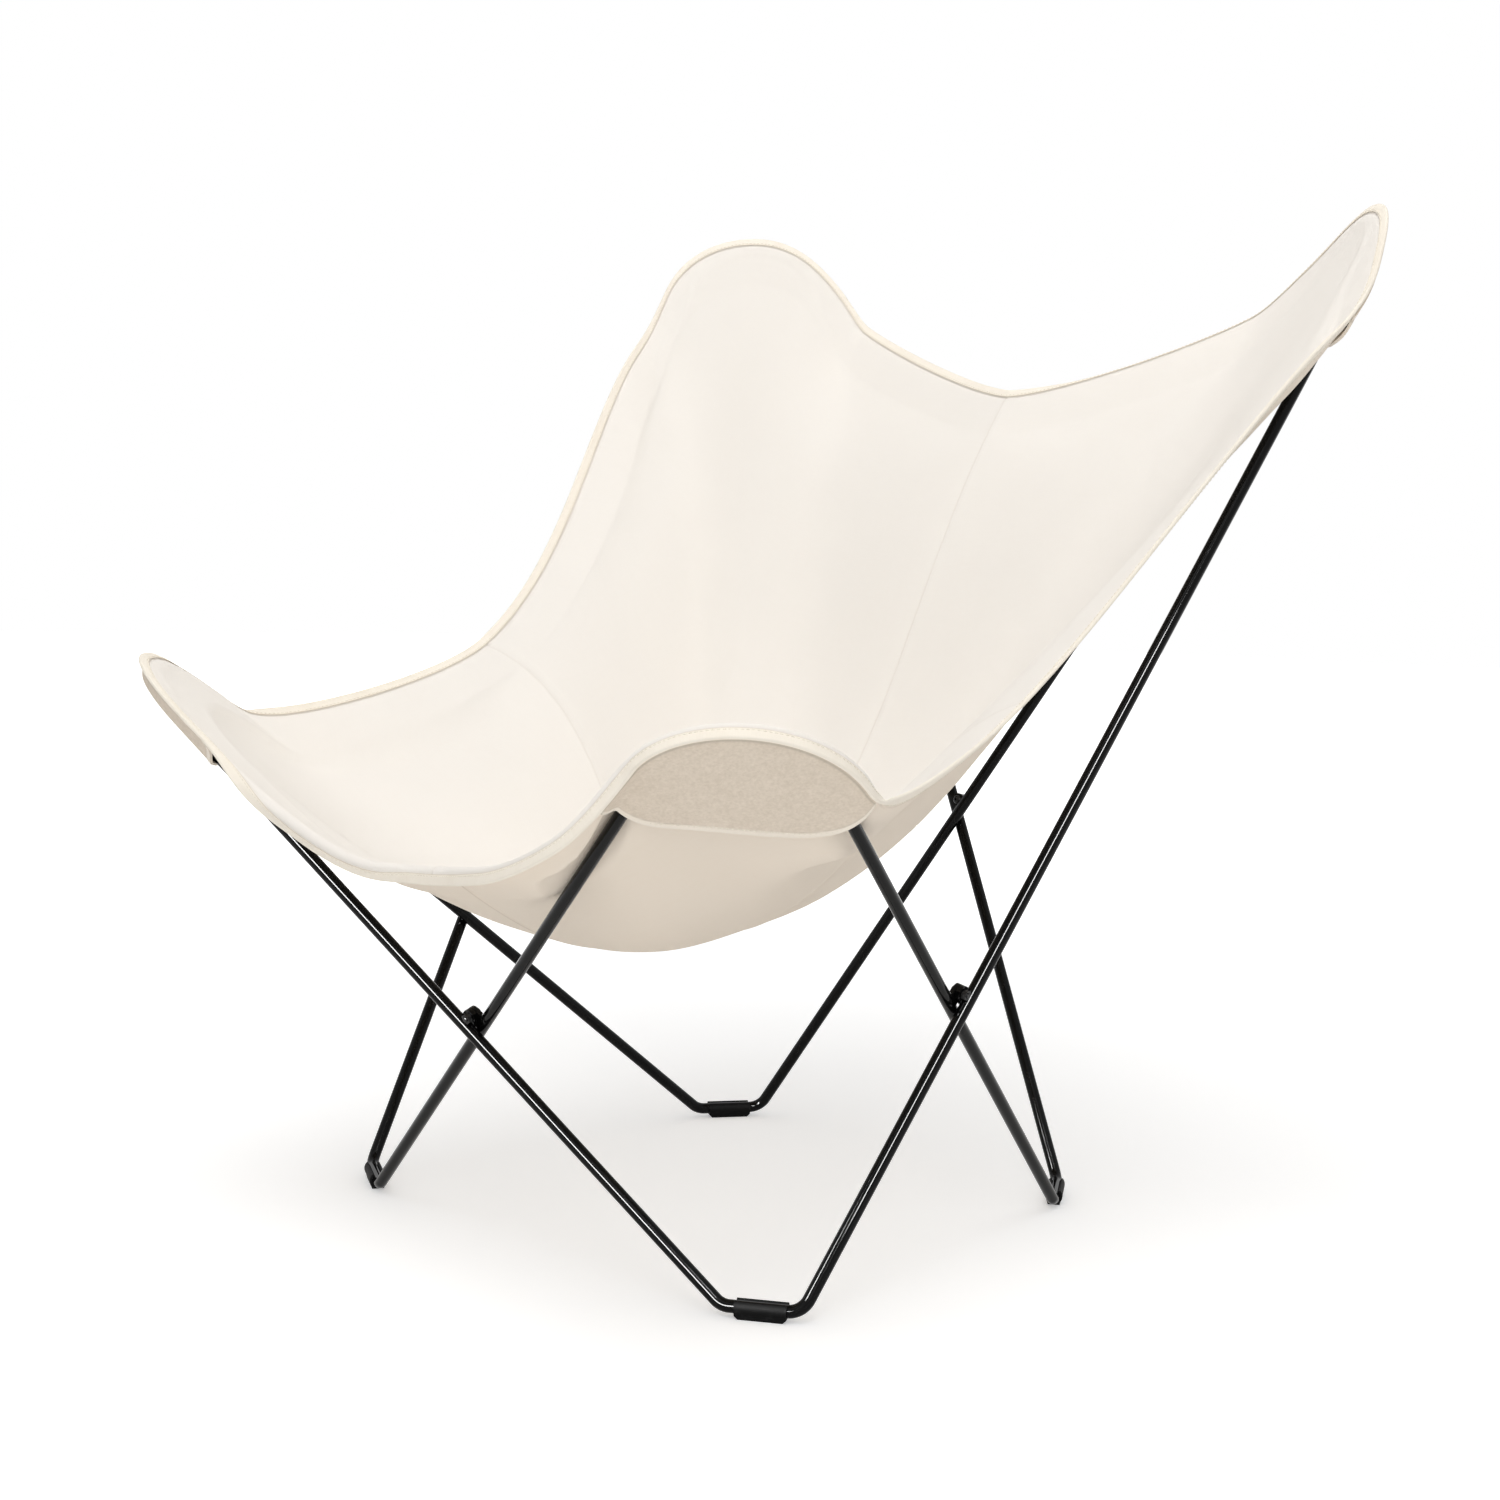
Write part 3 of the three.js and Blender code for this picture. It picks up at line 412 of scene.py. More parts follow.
rodLook = dict(
    base=0.002, patch=0.004, grain=(330.0, 2.0), patches=(60.0, 4.0, 0.6), patchRange=(0.5, 0.75),
    relief=0.12, depth=0.00002, roughness=(0.07, 0.02, 0.04), fixed=dict(Specular_IOR_Level=0.11),
)
sleeveLook = dict(
    base=0.006, patch=0.013, grain=(1400.0, 3.0, 0.6), patches=(90.0, 4.0, 0.7), patchRange=(0.52, 0.72),
    relief=0.5, depth=0.00012, roughness=(0.5, 0.2, 0.15), fixed=dict(Specular_IOR_Level=0.03),
)
boltLook = dict(
    base=0.012, patch=0.05, grain=(800.0, 3.0, 0.6), patches=(260.0, 3.0, 0.6), patchRange=(0.5, 0.7),
    relief=0.4, depth=0.00004, roughness=(0.3, 0.25, 0.1), fixed=dict(Metallic=0.75),
)


def blackFinish(name, look):
    # dust, scuffs or rubbed places in patches between two greys, over a fine grain
    material, wire = newFinish(name)
    place = objectPlace(wire)
    grain = place.noise(*look["grain"])
    patches = place.noise(*look["patches"]).between(*look["patchRange"])
    dull, dullSwing, dullPatch = look["roughness"]
    closeFinish(wire, Base_Color=patches.blend(grey(look["base"]), grey(look["patch"])),
                Roughness=dull + patches * dullPatch + grain.swing(dullSwing),
                Normal=grain.relief(look["relief"], look["depth"]), **look["fixed"])
    return material


canvas, flapCloth, tape, thread = canvasFinish(), flapFinish(), tapeFinish(), threadFinish()
paint = blackFinish("glossBlackPaint", rodLook)
plastic = blackFinish("mouldedBlackPlastic", sleeveLook)
steel = blackFinish("blackenedSteel", boltLook)
print("finishes made")


# rod loops: six corner points each, every corner rounded by its own bend

rodFrame = dict(
    radius=5.5, sides=32, arcStep=3.0, straightSteps=30,
    bends=[76.9, 18.0, 18.0, 68.6, 18.0, 18.0],  # front horn, two at a foot, back horn, two at a foot
    loops=dict(
        rod_loop_front_left=[(429.2, -459.7, 577.0), (-224.8, -246.0, 8.9), (-281.7, -211.7, 8.9),
                             (-447.8, 471.6, 1077.1), (189.3, 239.6, 8.9), (226.2, 184.5, 8.9)],
        rod_loop_front_right=[(-429.2, -471.7, 577.0), (228.2, -258.1, 8.9), (285.0, -223.8, 8.9),
                              (447.8, 459.6, 1077.1), (-189.3, 227.5, 8.9), (-226.2, 172.4, 8.9)],
    ),
)


def cornerArc(before, corner, after, bend, step):
    # arc of the bend's radius that touches both straights: centre + arm cos a + (axis x arm) sin a
    toBefore, toAfter = unit(before - corner), unit(after - corner)
    half = 0.5 * math.acos(float(np.clip(dot(toBefore, toAfter), -1, 1)))
    centre = corner + unit(toBefore + toAfter) * bend / math.sin(half)
    arm = corner + toBefore * bend / math.tan(half) - centre
    axis = unit(np.cross(toAfter, toBefore))
    turn = math.pi - 2.0 * half
    a = np.linspace(0.0, turn, max(3, math.ceil(math.degrees(turn) / step)) + 1)[:, None]
    side = np.cross(axis, arm)
    return centre + arm * np.cos(a) + side * np.sin(a), unit(side * np.cos(a) - arm * np.sin(a)), axis


def rodLoop(corners, bends, step, straightSteps):
    # arcs joined by straights
    # the section's start turns evenly from one bend's axis to the next along each straight
    corners = np.array(corners, float)
    neighbours = zip(np.roll(corners, 1, 0), corners, np.roll(corners, -1, 0), bends)
    arcs = [cornerArc(before, corner, after, bend, step) for before, corner, after, bend in neighbours]
    share = np.linspace(0.0, 1.0, straightSteps + 2)[1:-1, None]
    line, run, start = [], [], []
    for (points, tangents, axis), (nextPoints, _, nextAxis) in zip(arcs, arcs[1:] + arcs[:1]):
        way = tangents[-1]
        turn = math.atan2(dot(np.cross(axis, nextAxis), way), dot(axis, nextAxis))
        line += [points, mix(points[-1], nextPoints[0], share)]
        run += [tangents, np.repeat(way[None], straightSteps, 0)]
        start += [np.repeat(axis[None], len(points), 0),
                  axis * np.cos(turn * share) + np.cross(way, axis) * np.sin(turn * share)]
    return np.concatenate(line), np.concatenate(run), np.concatenate(start)


def roundTube(line, run, start, radius, sides):
    # circle of the radius in the plane across the path at each of its points
    a = np.arange(sides)[None, :, None] * 2.0 * math.pi / sides
    side = np.cross(run, start)
    return line[:, None] + radius * (np.cos(a) * start[:, None] + np.sin(a) * side[:, None])


for name, corners in rodFrame["loops"].items():
    line, run, start = rodLoop(corners, rodFrame["bends"], rodFrame["arcStep"], rodFrame["straightSteps"])
    skin = roundTube(line, run, start, rodFrame["radius"], rodFrame["sides"])
    quads = gridFaces(len(line), rodFrame["sides"], True, True)
    tube = putMesh(name + "_tube", skin.reshape(-1, 3), quads, material=paint, slot="rod_paint")
    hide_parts(name)
print("rod loops bent")

for name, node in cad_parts.items():
    look = plastic if name.startswith("foot_sleeve") else paint if name.startswith("crossing_lug") else steel
    if name.startswith(("foot_sleeve", "crossing_")):
        node.data.materials.clear()
        node.data.materials.append(look)
print("sleeves, lugs, bolts and nuts finished")


# sling: rays from the seat centre to the sewn outline, eased round the ring, laid over the rods

slingForm = dict(
    seat=(0.0, -59.0, 258.0), tilt=0.11, neckDrop=320.0, neckRise=14.0, edgeShare=0.3,
    easeSpread=0.34, easePower=5, cutStep=0.002, runStep=0.004,
    sideMid=(332.0, -30.0, 492.0), sideArrival=17.0, sideYaw=-13.0, sideHandle=165.0, sideStart=0.44,
    sideCurl=-20.0, sideHem=11.0, pocketFrom=0.8, pocketReach=0.35, rollGain=1.5, thickness=1.6,
    overRod=6.6, fall=0.035, legFall=0.012, legFallReach=90.0, blend=2.0, fade=6.0,
    ridgeFrom=90.0, ridgeReach=260.0,
    front=dict(
        mid=(0.0, -367.0, 351.0),
        sideMidHandle=(-1.0, -50.0, -32.0), sideCornerHandle=(-13.0, 42.0, -15.0),
        rimBase=6.0, rimLift=(4.0, 4.0), cornerEase=(0.06, 0.02), midEase=0.12,
        arrival=36.0, handle=120.0, start=0.46, hornHandle=90.0, hornStart=0.3,
        curl=120.0, hornCurl=88.0, hem=22.0, hornHem=23.0, arc=0.6, hornArc=0.62,
    ),
    back=dict(
        mid=(0.0, 357.0, 747.0), midHandle=(70.0, 19.0, 3.2), cornerHandle=(-21.0, -3.4, -18.0),
        sideMidHandle=(2.6, 135.0, 87.0), sideCornerHandle=(-0.9, -85.0, -44.0),
        rimBase=6.0, rimLift=(4.0, 4.0), cornerEase=(0.04, 0.04), midEase=0.0,
        arrival=51.0, handle=248.0, start=0.56, hornHandle=206.0, hornStart=0.55,
        curl=5.0, hornCurl=14.0, hem=11.0, hornHem=11.0, arc=1.0, hornArc=1.0,
    ),
    # each quarter's rim; pairs: the leg at the front or back edge first, the side leg second
    # turnUnder: curl, hem and arc of a turned-under stretch, then where it starts, is full, fades and ends
    own=dict(
        front_left=dict(
            midHandle=(68.0, -4.5, 2.0), cornerHandle=(-35.0, -63.0, -61.0),
            rimTip=18.0, rimCorner=(21.0, 25.0), rimFlare=(4.2, 2.8), rimRise=(-16.0, 0.5),
            rimAngle=(78.0, 89.0),
        ),
        front_right=dict(
            midHandle=(53.0, 3.5, -1.6), cornerHandle=(-224.0, 9.3, -123.0),
            rimTip=7.0, rimCorner=(20.0, 32.0), rimFlare=(1.0, 1.8), rimRise=(1.0, 2.9),
            rimAngle=(89.0, 91.0),
            hornCurl=22.0, hornHem=12.0, hornArc=1.0,
            turnUnder=[(150.0, 22.0, 0.6, 0.0, 0.13, 0.23, 0.31), (85.0, 14.0, 1.0, 0.54, 0.60, 0.68, 0.76)],
        ),
        back_left=dict(
            sideCornerHandle=(-6.4, -90.0, -37.0),
            rimTip=6.4, rimCorner=(50.0, 56.0), rimFlare=(4.3, 1.8), rimRise=(12.0, -16.0),
            rimAngle=(102.0, 104.0),
            turnUnder=[(85.0, 14.0, 1.0, 0.0, 0.13, 0.25, 0.40)],
        ),
        back_right=dict(
            rimTip=4.3, rimCorner=(43.0, 40.0), rimFlare=(4.0, 1.8), rimRise=(1.6, -10.0),
            rimAngle=(103.0, 109.0),
        ),
    ),
)
ringOrder = ["front_left", "back_left", "back_right", "front_right"]
loopOf = dict(front_left=("rod_loop_front_left", 0), back_right=("rod_loop_front_left", 3),
              front_right=("rod_loop_front_right", 0), back_left=("rod_loop_front_right", 3))


def endOf(name):
    # values of the quarter's end of the sling with its own ones on top, and the mirror that gives its side
    values = {**slingForm[name.split("_")[0]], **slingForm["own"][name]}
    return values, np.array([1.0 if name.endswith("left") else -1.0, 1.0, 1.0])


def otherHand(name):  # the quarter across the centre seam
    end, hand = name.split("_")
    return end + ("_right" if hand == "left" else "_left")


def hornFrame(name):
    # axes of a horn: b down its middle, w from the edge leg to the side leg, n to the seat
    loop, at = loopOf[name]
    corners = np.array(rodFrame["loops"][loop], float)
    edgeLeg = unit(corners[1 if at == 0 else 4] - corners[at])
    sideLeg = unit(corners[5 if at == 0 else 2] - corners[at])
    bend = rodFrame["bends"][at]
    alpha = 0.5 * math.acos(float(dot(edgeLeg, sideLeg)))
    b, w = unit(edgeLeg + sideLeg), unit(sideLeg - edgeLeg)
    centre = corners[at] + b * bend / math.sin(alpha)
    n = unit(np.cross(w, b))
    n = n * np.sign(dot(n, np.array(slingForm["seat"]) - centre))
    return dict(centre=centre, b=b, w=w, n=n, alpha=alpha, bend=bend)


horns = {name: hornFrame(name) for name in ringOrder}


def bezier(p0, p1, p2, p3, t):  # cubic with its four control points
    s = 1.0 - t
    return s ** 3 * p0 + 3 * s * s * t * p1 + 3 * s * t * t * p2 + t ** 3 * p3


def hornPoint(horn, w, b, n):  # centre + w, b and n along the horn's own axes
    return horn["centre"] + w[..., None] * horn["w"] + b[..., None] * horn["b"] + n[..., None] * horn["n"]


def againstRod(horn, points):
    # distance from the rod's middle line in the horn's plane, positive outside, and the coordinates w, b, n
    offset = points - horn["centre"]
    w, b, n = dot(offset, horn["w"]), dot(offset, horn["b"]), dot(offset, horn["n"])
    opening = math.pi / 2 - horn["alpha"]
    legW = np.abs(w) - horn["bend"] * math.sin(opening)
    legB = b + horn["bend"] * math.cos(opening)
    toLeg = legW * math.cos(horn["alpha"]) - legB * math.sin(horn["alpha"])
    onArc = np.abs(np.arctan2(w, -b)) < opening
    return np.where(onArc, np.hypot(w, b) - horn["bend"], toLeg), w, b, n


def rodLift(horn, points):
    # near the rod the height over the horn's plane becomes the soft larger one of itself and top - fall d^2
    f = slingForm
    d, w, b, n = againstRod(horn, points)
    height = f["overRod"] - mix(f["fall"], f["legFall"], smooth(b / f["legFallReach"])) * d * d
    raised = 0.5 * (n + height + np.hypot(n - height, f["blend"]))
    lift = (raised - n) * smooth((height + f["fade"]) / f["fade"])
    ridge = 1 - smooth((b - f["ridgeFrom"]) / (f["ridgeReach"] - f["ridgeFrom"]))
    return (lift * ridge)[..., None] * horn["n"]


def rimPoints(name, angle):
    # round a horn: bend + reach that grows with the angle's share, lifted at the two corners
    f, horn = endOf(name)[0], horns[name]
    pick = (angle > 0).astype(int)
    keys = ("rimCorner", "rimFlare", "rimAngle", "rimRise", "rimLift")
    corner, flare, most, rise, lift = (np.array(f[key])[pick] for key in keys)
    share = np.abs(angle) / np.radians(most)
    radius = horn["bend"] + mix(f["rimTip"], corner, share ** flare)
    height = f["rimBase"] + rise * share ** lift
    return hornPoint(horn, radius * np.sin(angle), -radius * np.cos(angle), height)


def sewnCurve(name, v):
    # a quarter's outline: from the front or back middle along a cubic, round the horn, by a cubic to the side
    f, hand = endOf(name)
    edge = slingForm["edgeShare"]
    first, last = -math.radians(f["rimAngle"][0]), math.radians(f["rimAngle"][1])
    corner = rimPoints(name, np.array([first, last]))
    midA, midB = np.array(f["mid"]) * hand, np.array(slingForm["sideMid"]) * hand
    toA, toB = np.array(f["midHandle"]) * hand, np.array(f["sideMidHandle"]) * hand
    tailA, tailB = np.array(f["cornerHandle"]) * hand, np.array(f["sideCornerHandle"]) * hand
    a = bezier(midA, midA + toA, corner[0] + tailA, corner[0], np.clip(v / edge, 0, 1)[:, None])
    b = bezier(midB, midB + toB, corner[1] + tailB, corner[1], np.clip((1 - v) / edge, 0, 1)[:, None])
    rim = rimPoints(name, mix(first, last, np.clip((v - edge) / (1 - 2 * edge), 0, 1)))
    return np.where((v < edge)[:, None], a, np.where((v > 1 - edge)[:, None], b, rim))


def easeCut(before, leave, join, after, half, t):
    # cubic that leaves and joins the outline along its own direction, over a stretch of twice half
    reach = 2 * half / (3 * slingForm["cutStep"])
    return bezier(leave, leave + (leave - before) * reach, join - (after - join) * reach, join, t[:, None])


def outline(name, v):
    # the sewn curve with each pocket corner cut, and the front middle too
    f, edge, step = endOf(name)[0], slingForm["edgeShare"], slingForm["cutStep"]
    points = sewnCurve(name, v)
    for at, half in zip((edge, 1 - edge), f["cornerEase"]):
        ends = sewnCurve(name, np.array([at - half - step, at - half, at + half, at + half + step]))
        cut = easeCut(*ends, half, (v - at + half) / (2 * half))
        points = np.where((np.abs(v - at) < half)[:, None], cut, points)
    half = f["midEase"]
    if half > 0:  # across the centre seam, from the other hand's curve to this one
        join, after = sewnCurve(name, np.array([half, half + step]))
        leave, before = sewnCurve(otherHand(name), np.array([half, half + step]))
        cut = easeCut(before, leave, join, after, half, 0.5 + 0.5 * v / half)
        points = np.where((v < half)[:, None], cut, points)
    return points


def slingRays(name, v):
    # each ray: outline point, arrival tangent, handles of its curve, roll and width of its hem
    g, (f, hand) = slingForm, endOf(name)
    horn, seat = horns[name], np.array(g["seat"])
    first = v < 0.5  # the half of the quarter at the front or back edge
    points = outline(name, v)
    toHorn = np.where(first, v, 1 - v) / g["edgeShare"]
    share = smooth(toHorn)
    rise, tilt, yaw = (math.radians(angle) for angle in (f["arrival"], g["sideArrival"], g["sideYaw"]))
    arriveA = np.array([0.0, math.copysign(math.cos(rise), f["mid"][1]), math.sin(rise)])
    level = math.cos(tilt)
    arriveB = np.array([level * math.cos(yaw), level * math.sin(yaw), math.sin(tilt)]) * hand
    neck = horn["centre"] + horn["b"] * g["neckDrop"] + horn["n"] * g["neckRise"]
    tangent = unit(mix(np.where(first[:, None], arriveA, arriveB), unit(points - neck), share[:, None]))
    handle = mix(np.where(first, f["handle"], g["sideHandle"]), f["hornHandle"], share)
    begin = mix(np.where(first, f["start"], g["sideStart"]), f["hornStart"], share)
    p1 = seat + (points - seat) * np.array([1.0, 1.0, 0.0]) * begin[:, None]
    p1[:, 2] += g["tilt"] * (p1[:, 1] - seat[1])
    run = outline(name, np.minimum(1, v + g["runStep"])) - outline(name, np.maximum(0, v - g["runStep"]))
    upper = unit(np.cross(tangent, run))
    upper = upper * np.sign(dot(upper, horn["n"]))[:, None]
    # the side edges roll over only near the pocket
    pocket = np.where(first, share, smooth((toHorn - g["pocketFrom"]) / g["pocketReach"]))
    curl = mix(np.where(first, f["curl"], g["sideCurl"]), f["hornCurl"], pocket)
    hem = mix(np.where(first, f["hem"], g["sideHem"]), f["hornHem"], pocket)
    arc = mix(np.where(first, f["arc"], 1.0), f["hornArc"], pocket)
    for underCurl, underHem, underArc, start, full, fade, end in f.get("turnUnder", []):
        under = smooth((v - start) / (full - start)) * (1 - smooth((v - fade) / (end - fade)))
        curl, hem, arc = mix(curl, underCurl, under), mix(hem, underHem, under), mix(arc, underArc, under)
    return dict(end=points, tangent=tangent, upper=upper, handle=handle, p1=p1,
                p2=points - tangent * handle[:, None], curl=np.radians(curl), hem=hem, arc=arc)


def rayPoints(ray, u):  # points of the rays at shares u, one row per share
    return bezier(np.array(slingForm["seat"]), ray["p1"], ray["p2"], ray["end"], u[..., None])


# nodes and weights of an eight-point sum between 0 and 1, for the rolled edge
rollNodes, rollWeights = (half[:, None, None] for half in np.polynomial.legendre.leggauss(8))
rollNodes, rollWeights = 0.5 + 0.5 * rollNodes, 0.5 * rollWeights


def hemPoints(name, ray, share):
    # past the outline the cloth turns by curl (way / arc)^gain over part of its hem, then goes straight
    angle, arc, gain = ray["curl"], ray["arc"], slingForm["rollGain"]
    bent = np.minimum(share, arc)
    straight = share - bent
    turn = angle * (bent / arc) ** gain * rollNodes ** gain
    out = bent * (rollWeights * np.cos(turn)).sum(0) + straight * np.cos(angle)
    down = bent * (rollWeights * np.sin(turn)).sum(0) + straight * np.sin(angle)
    way, outWay, downWay = (ray["hem"] * part for part in (share, out, down))
    spread = ray["end"] + way[..., None] * ray["tangent"]
    rolled = ray["end"] + outWay[..., None] * ray["tangent"] - downWay[..., None] * ray["upper"]
    return rolled + rodLift(horns[name], spread)


# columns of a quarter: even, with close ones at both seams; rows: rays, close ones at the rim, and the hem
slingMesh = dict(
    columns=230, evenFrom=0.017, innerRows=18, outerRows=64, innerShare=0.42, sources=240, hemRows=13,
    seamSteps=(0.0, 0.0006, 0.0012, 0.0019, 0.0027, 0.0037, 0.0049, 0.0064, 0.0082, 0.0105, 0.0135),
    rimSteps=(46.0, 41.0, 37.0, 33.5, 30.5, 28.0, 25.5, 23.5, 21.5, 19.5, 17.5, 15.5, 13.5, 11.5, 9.5, 7.5,
              6.0, 4.5, 3.0, 1.5, 0.0),
)
seamSteps = np.array(slingMesh["seamSteps"])
evenSteps = np.linspace(slingMesh["evenFrom"], 1 - slingMesh["evenFrom"], slingMesh["columns"])
vPlaces = np.concatenate([seamSteps, evenSteps, 1 - seamSteps[::-1]])
quarterColumns = len(vPlaces) - 1
innerShare = slingMesh["innerShare"]
rowShares = np.concatenate([np.linspace(0, innerShare, slingMesh["innerRows"], endpoint=False),
                            np.linspace(innerShare, 1, slingMesh["outerRows"], endpoint=False)])
rimSteps = np.array(slingMesh["rimSteps"])[:, None]
hemShares = np.linspace(0, 1, slingMesh["hemRows"] + 1)[1:, None]


def ringPlaces(steps):  # each quarter's name, its v, and the place from 0 to 4 round the ring
    places = []
    for turn, name in enumerate(ringOrder):
        v = steps[:-1] if turn % 2 == 0 else steps[::-1][:-1]
        places.append((name, v, turn + (v if turn % 2 == 0 else 1 - v)))
    return places


def easedRows(shares, sourceRows, targetPlaces, sourcePlaces, seamRows):
    # bell-weighted mean round the ring, wide at the seat and narrow at the rim
    # moved back so that the seams keep their curves
    rows = []
    seams = np.arange(4.0)
    corner = np.floor(targetPlaces)
    nearness = (np.cos((targetPlaces - corner) * math.pi / 2) ** 2)[:, None]
    before, after = corner.astype(int) % 4, (corner.astype(int) + 1) % 4
    for share, source, seamRow in zip(shares, sourceRows, seamRows):
        width = slingForm["easeSpread"] * (1 - share ** slingForm["easePower"])

        def eased(places):  # mean of the source, weighed by exp(-gap^2 / (2 width^2))
            gap = (places[:, None] - sourcePlaces[None] + 2.0) % 4.0 - 2.0
            weight = np.exp(-gap * gap / (2 * width * width))
            return weight @ source / weight.sum(1, keepdims=True)

        miss = seamRow - eased(seams)
        rows.append(eased(targetPlaces) + nearness * miss[before] + (1 - nearness) * miss[after])
    return np.array(rows)


def ringSheet(steps):
    # rows from the seat centre to the hem's end, columns once round the sling
    sourceSteps = np.linspace(0, 1, slingMesh["sources"] + 1)
    source, body, hems = [], [], []
    for name, v, place in ringPlaces(sourceSteps):
        ray = slingRays(name, v)
        source.append(rayPoints(ray, rowShares[:, None] * (1 - rimSteps[0] / (3 * ray["handle"]))))
    source = np.concatenate(source, 1)
    sourcePlaces = np.concatenate([p for n, v, p in ringPlaces(sourceSteps)])
    seamRows = source[:, ::slingMesh["sources"]]
    targetPlaces = np.concatenate([p for n, v, p in ringPlaces(steps)])
    inner = easedRows(rowShares, source, targetPlaces, sourcePlaces, seamRows)
    inner[0] = slingForm["seat"]
    first = 0
    for name, v, place in ringPlaces(steps):
        ray = slingRays(name, v)
        last = first + len(v)
        near = rayPoints(ray, 1 - rimSteps / (3 * ray["handle"]))
        rows = np.concatenate([inner[:, first:last], near])
        body.append(rows + rodLift(horns[name], rows))
        hems.append(hemPoints(name, ray, hemShares))
        first = last
    return np.concatenate([np.concatenate(body, 1), np.concatenate(hems, 1)])


sheet = ringSheet(vPlaces)
print("sling form", sheet.shape)

# flat map of the sling: running length of each ray, turned by the ray's heading at the seat
raySpan = sweepLength(sheet, 0)
edgeGap = raySpan[-1:] - raySpan  # way left to the hem's end
ringRays = [slingRays(name, v) for name, v, place in ringPlaces(vPlaces)]
reach = np.concatenate([ray["end"] for ray in ringRays]) - np.array(slingForm["seat"])
heading = np.arctan2(reach[:, 1], reach[:, 0])
clothMap = raySpan[..., None] * np.stack([np.cos(heading), np.sin(heading)], -1)[None]


def ringColumns(turn):  # column numbers of a panel, both seams included
    return np.arange(turn * quarterColumns, (turn + 1) * quarterColumns + 1) % sheet.shape[1]


def seamGaps(sheet):
    # way along each row to the centre seam and to the cross seam, per quarter
    toCentre, toCross = [], []
    for turn in range(len(ringOrder)):
        way = sweepLength(sheet[:, ringColumns(turn)], 1)
        there, back = way[:, :-1], (way[:, -1:] - way)[:, :-1]
        toCentre.append(there if turn % 2 == 0 else back)
        toCross.append(back if turn % 2 == 0 else there)
    return np.concatenate(toCentre, 1), np.concatenate(toCross, 1)


seamForm = dict(dip=0.55, dipWidth=1.4, felled=0.4, felledFrom=2.4, felledTo=8.5, felledSoft=(1.2, 1.6))
edgeForm = dict(
    groove=0.9, grooveAt=9.3, grooveWidth=1.7, grooveFade=(95.0, 125.0),
    pucker=0.22, puckerAt=13.0, puckerWidth=9.0, puckerPeriods=(17.0, 23.7, 11.3),
)
slackForm = dict(  # low waves of the cloth: turns per millimetre along both map axes, and a start
    height=0.35, edgeReach=120.0, seatReach=150.0,
    spans=((0.0061, 0.0043, 0.4), (0.0104, -0.0071, 1.9), (-0.0052, 0.0125, 3.1), (0.019, 0.006, 5.0)),
)
creaseForm = dict(  # shade and width of each sewn line
    centre=(0.3, 1.2), cross=(0.2, 1.2), outerCentre=(0.5, 1.1), edge=(0.5, 1.0), edgeAt=8.6, seatReach=12.0,
)


def seamDip(d, felledSide):
    # narrow dip at the seam line; on one side the felled allowance stands a little proud
    s = seamForm
    softIn, softOut = s["felledSoft"]
    ledge = smooth((d - s["felledFrom"]) / softIn) * (1 - smooth((d - s["felledTo"]) / softOut))
    return -s["dip"] * bell(d, s["dipWidth"]) + s["felled"] * ledge * felledSide


def lineShade(d, form):  # a share times a bell of the way from the line
    share, width = form
    return share * bell(d, width)


toCentre, toCross = seamGaps(sheet)
onLeft = np.repeat([1.0, 1.0, 0.0, 0.0], quarterColumns)[None]
onBack = np.repeat([0.0, 1.0, 1.0, 0.0], quarterColumns)[None]
rimRun = sweepLength(sheet[-1:], 1)
edgeTurn = np.degrees(np.concatenate([ray["curl"] for ray in ringRays]))
fadeFrom, fadeTo = edgeForm["grooveFade"]
sewnEdge = 1 - smooth((edgeTurn - fadeFrom) / (fadeTo - fadeFrom))  # no groove where the edge is turned under
periods, spans = edgeForm["puckerPeriods"], slackForm["spans"]
pucker = sum(np.sin(rimRun * 2 * math.pi / p + i) for i, p in enumerate(periods)) / len(periods)
slack = sum(np.sin((clothMap @ np.array([a, b])) * 2 * math.pi + c) for a, b, c in spans) / len(spans)
slack = slack * smooth(edgeGap / slackForm["edgeReach"]) * smooth(raySpan / slackForm["seatReach"])
offset = (seamDip(toCentre, onLeft) + seamDip(toCross, onBack)
          - edgeForm["groove"] * sewnEdge * bell(edgeGap - edgeForm["grooveAt"], edgeForm["grooveWidth"])
          + edgeForm["pucker"] * pucker * bell(edgeGap - edgeForm["puckerAt"], edgeForm["puckerWidth"])
          + slackForm["height"] * slack)
inward = gridNormals(sheet, True)
openRow = len(rowShares) // 3  # a row on the open seat, where the sitter's side looks up
inward = inward * np.where(inward[openRow, :, 2] < 0, -1.0, 1.0)[None, :, None]
inward[0] = unit(np.array([0.0, -slingForm["tilt"], 1.0]))
cloth = sheet + offset[..., None] * inward
clothNormals = gridNormals(cloth, True)
clothNormals = clothNormals * np.sign(dot(clothNormals, inward))[..., None]
clothNormals[0] = inward[0]
offSeat = smooth(raySpan / creaseForm["seatReach"])
# painted shade in the dips of the centre and cross seams and along the binding's inner edge; more at the
# centre seam on the outer side
crease = np.clip(lineShade(toCentre, creaseForm["centre"]) + lineShade(toCross, creaseForm["cross"])
                 + sewnEdge * lineShade(edgeGap - creaseForm["edgeAt"], creaseForm["edge"]), 0, 1) * offSeat
outerCrease = np.clip(crease + lineShade(toCentre, creaseForm["outerCentre"]) * offSeat, 0, 1)

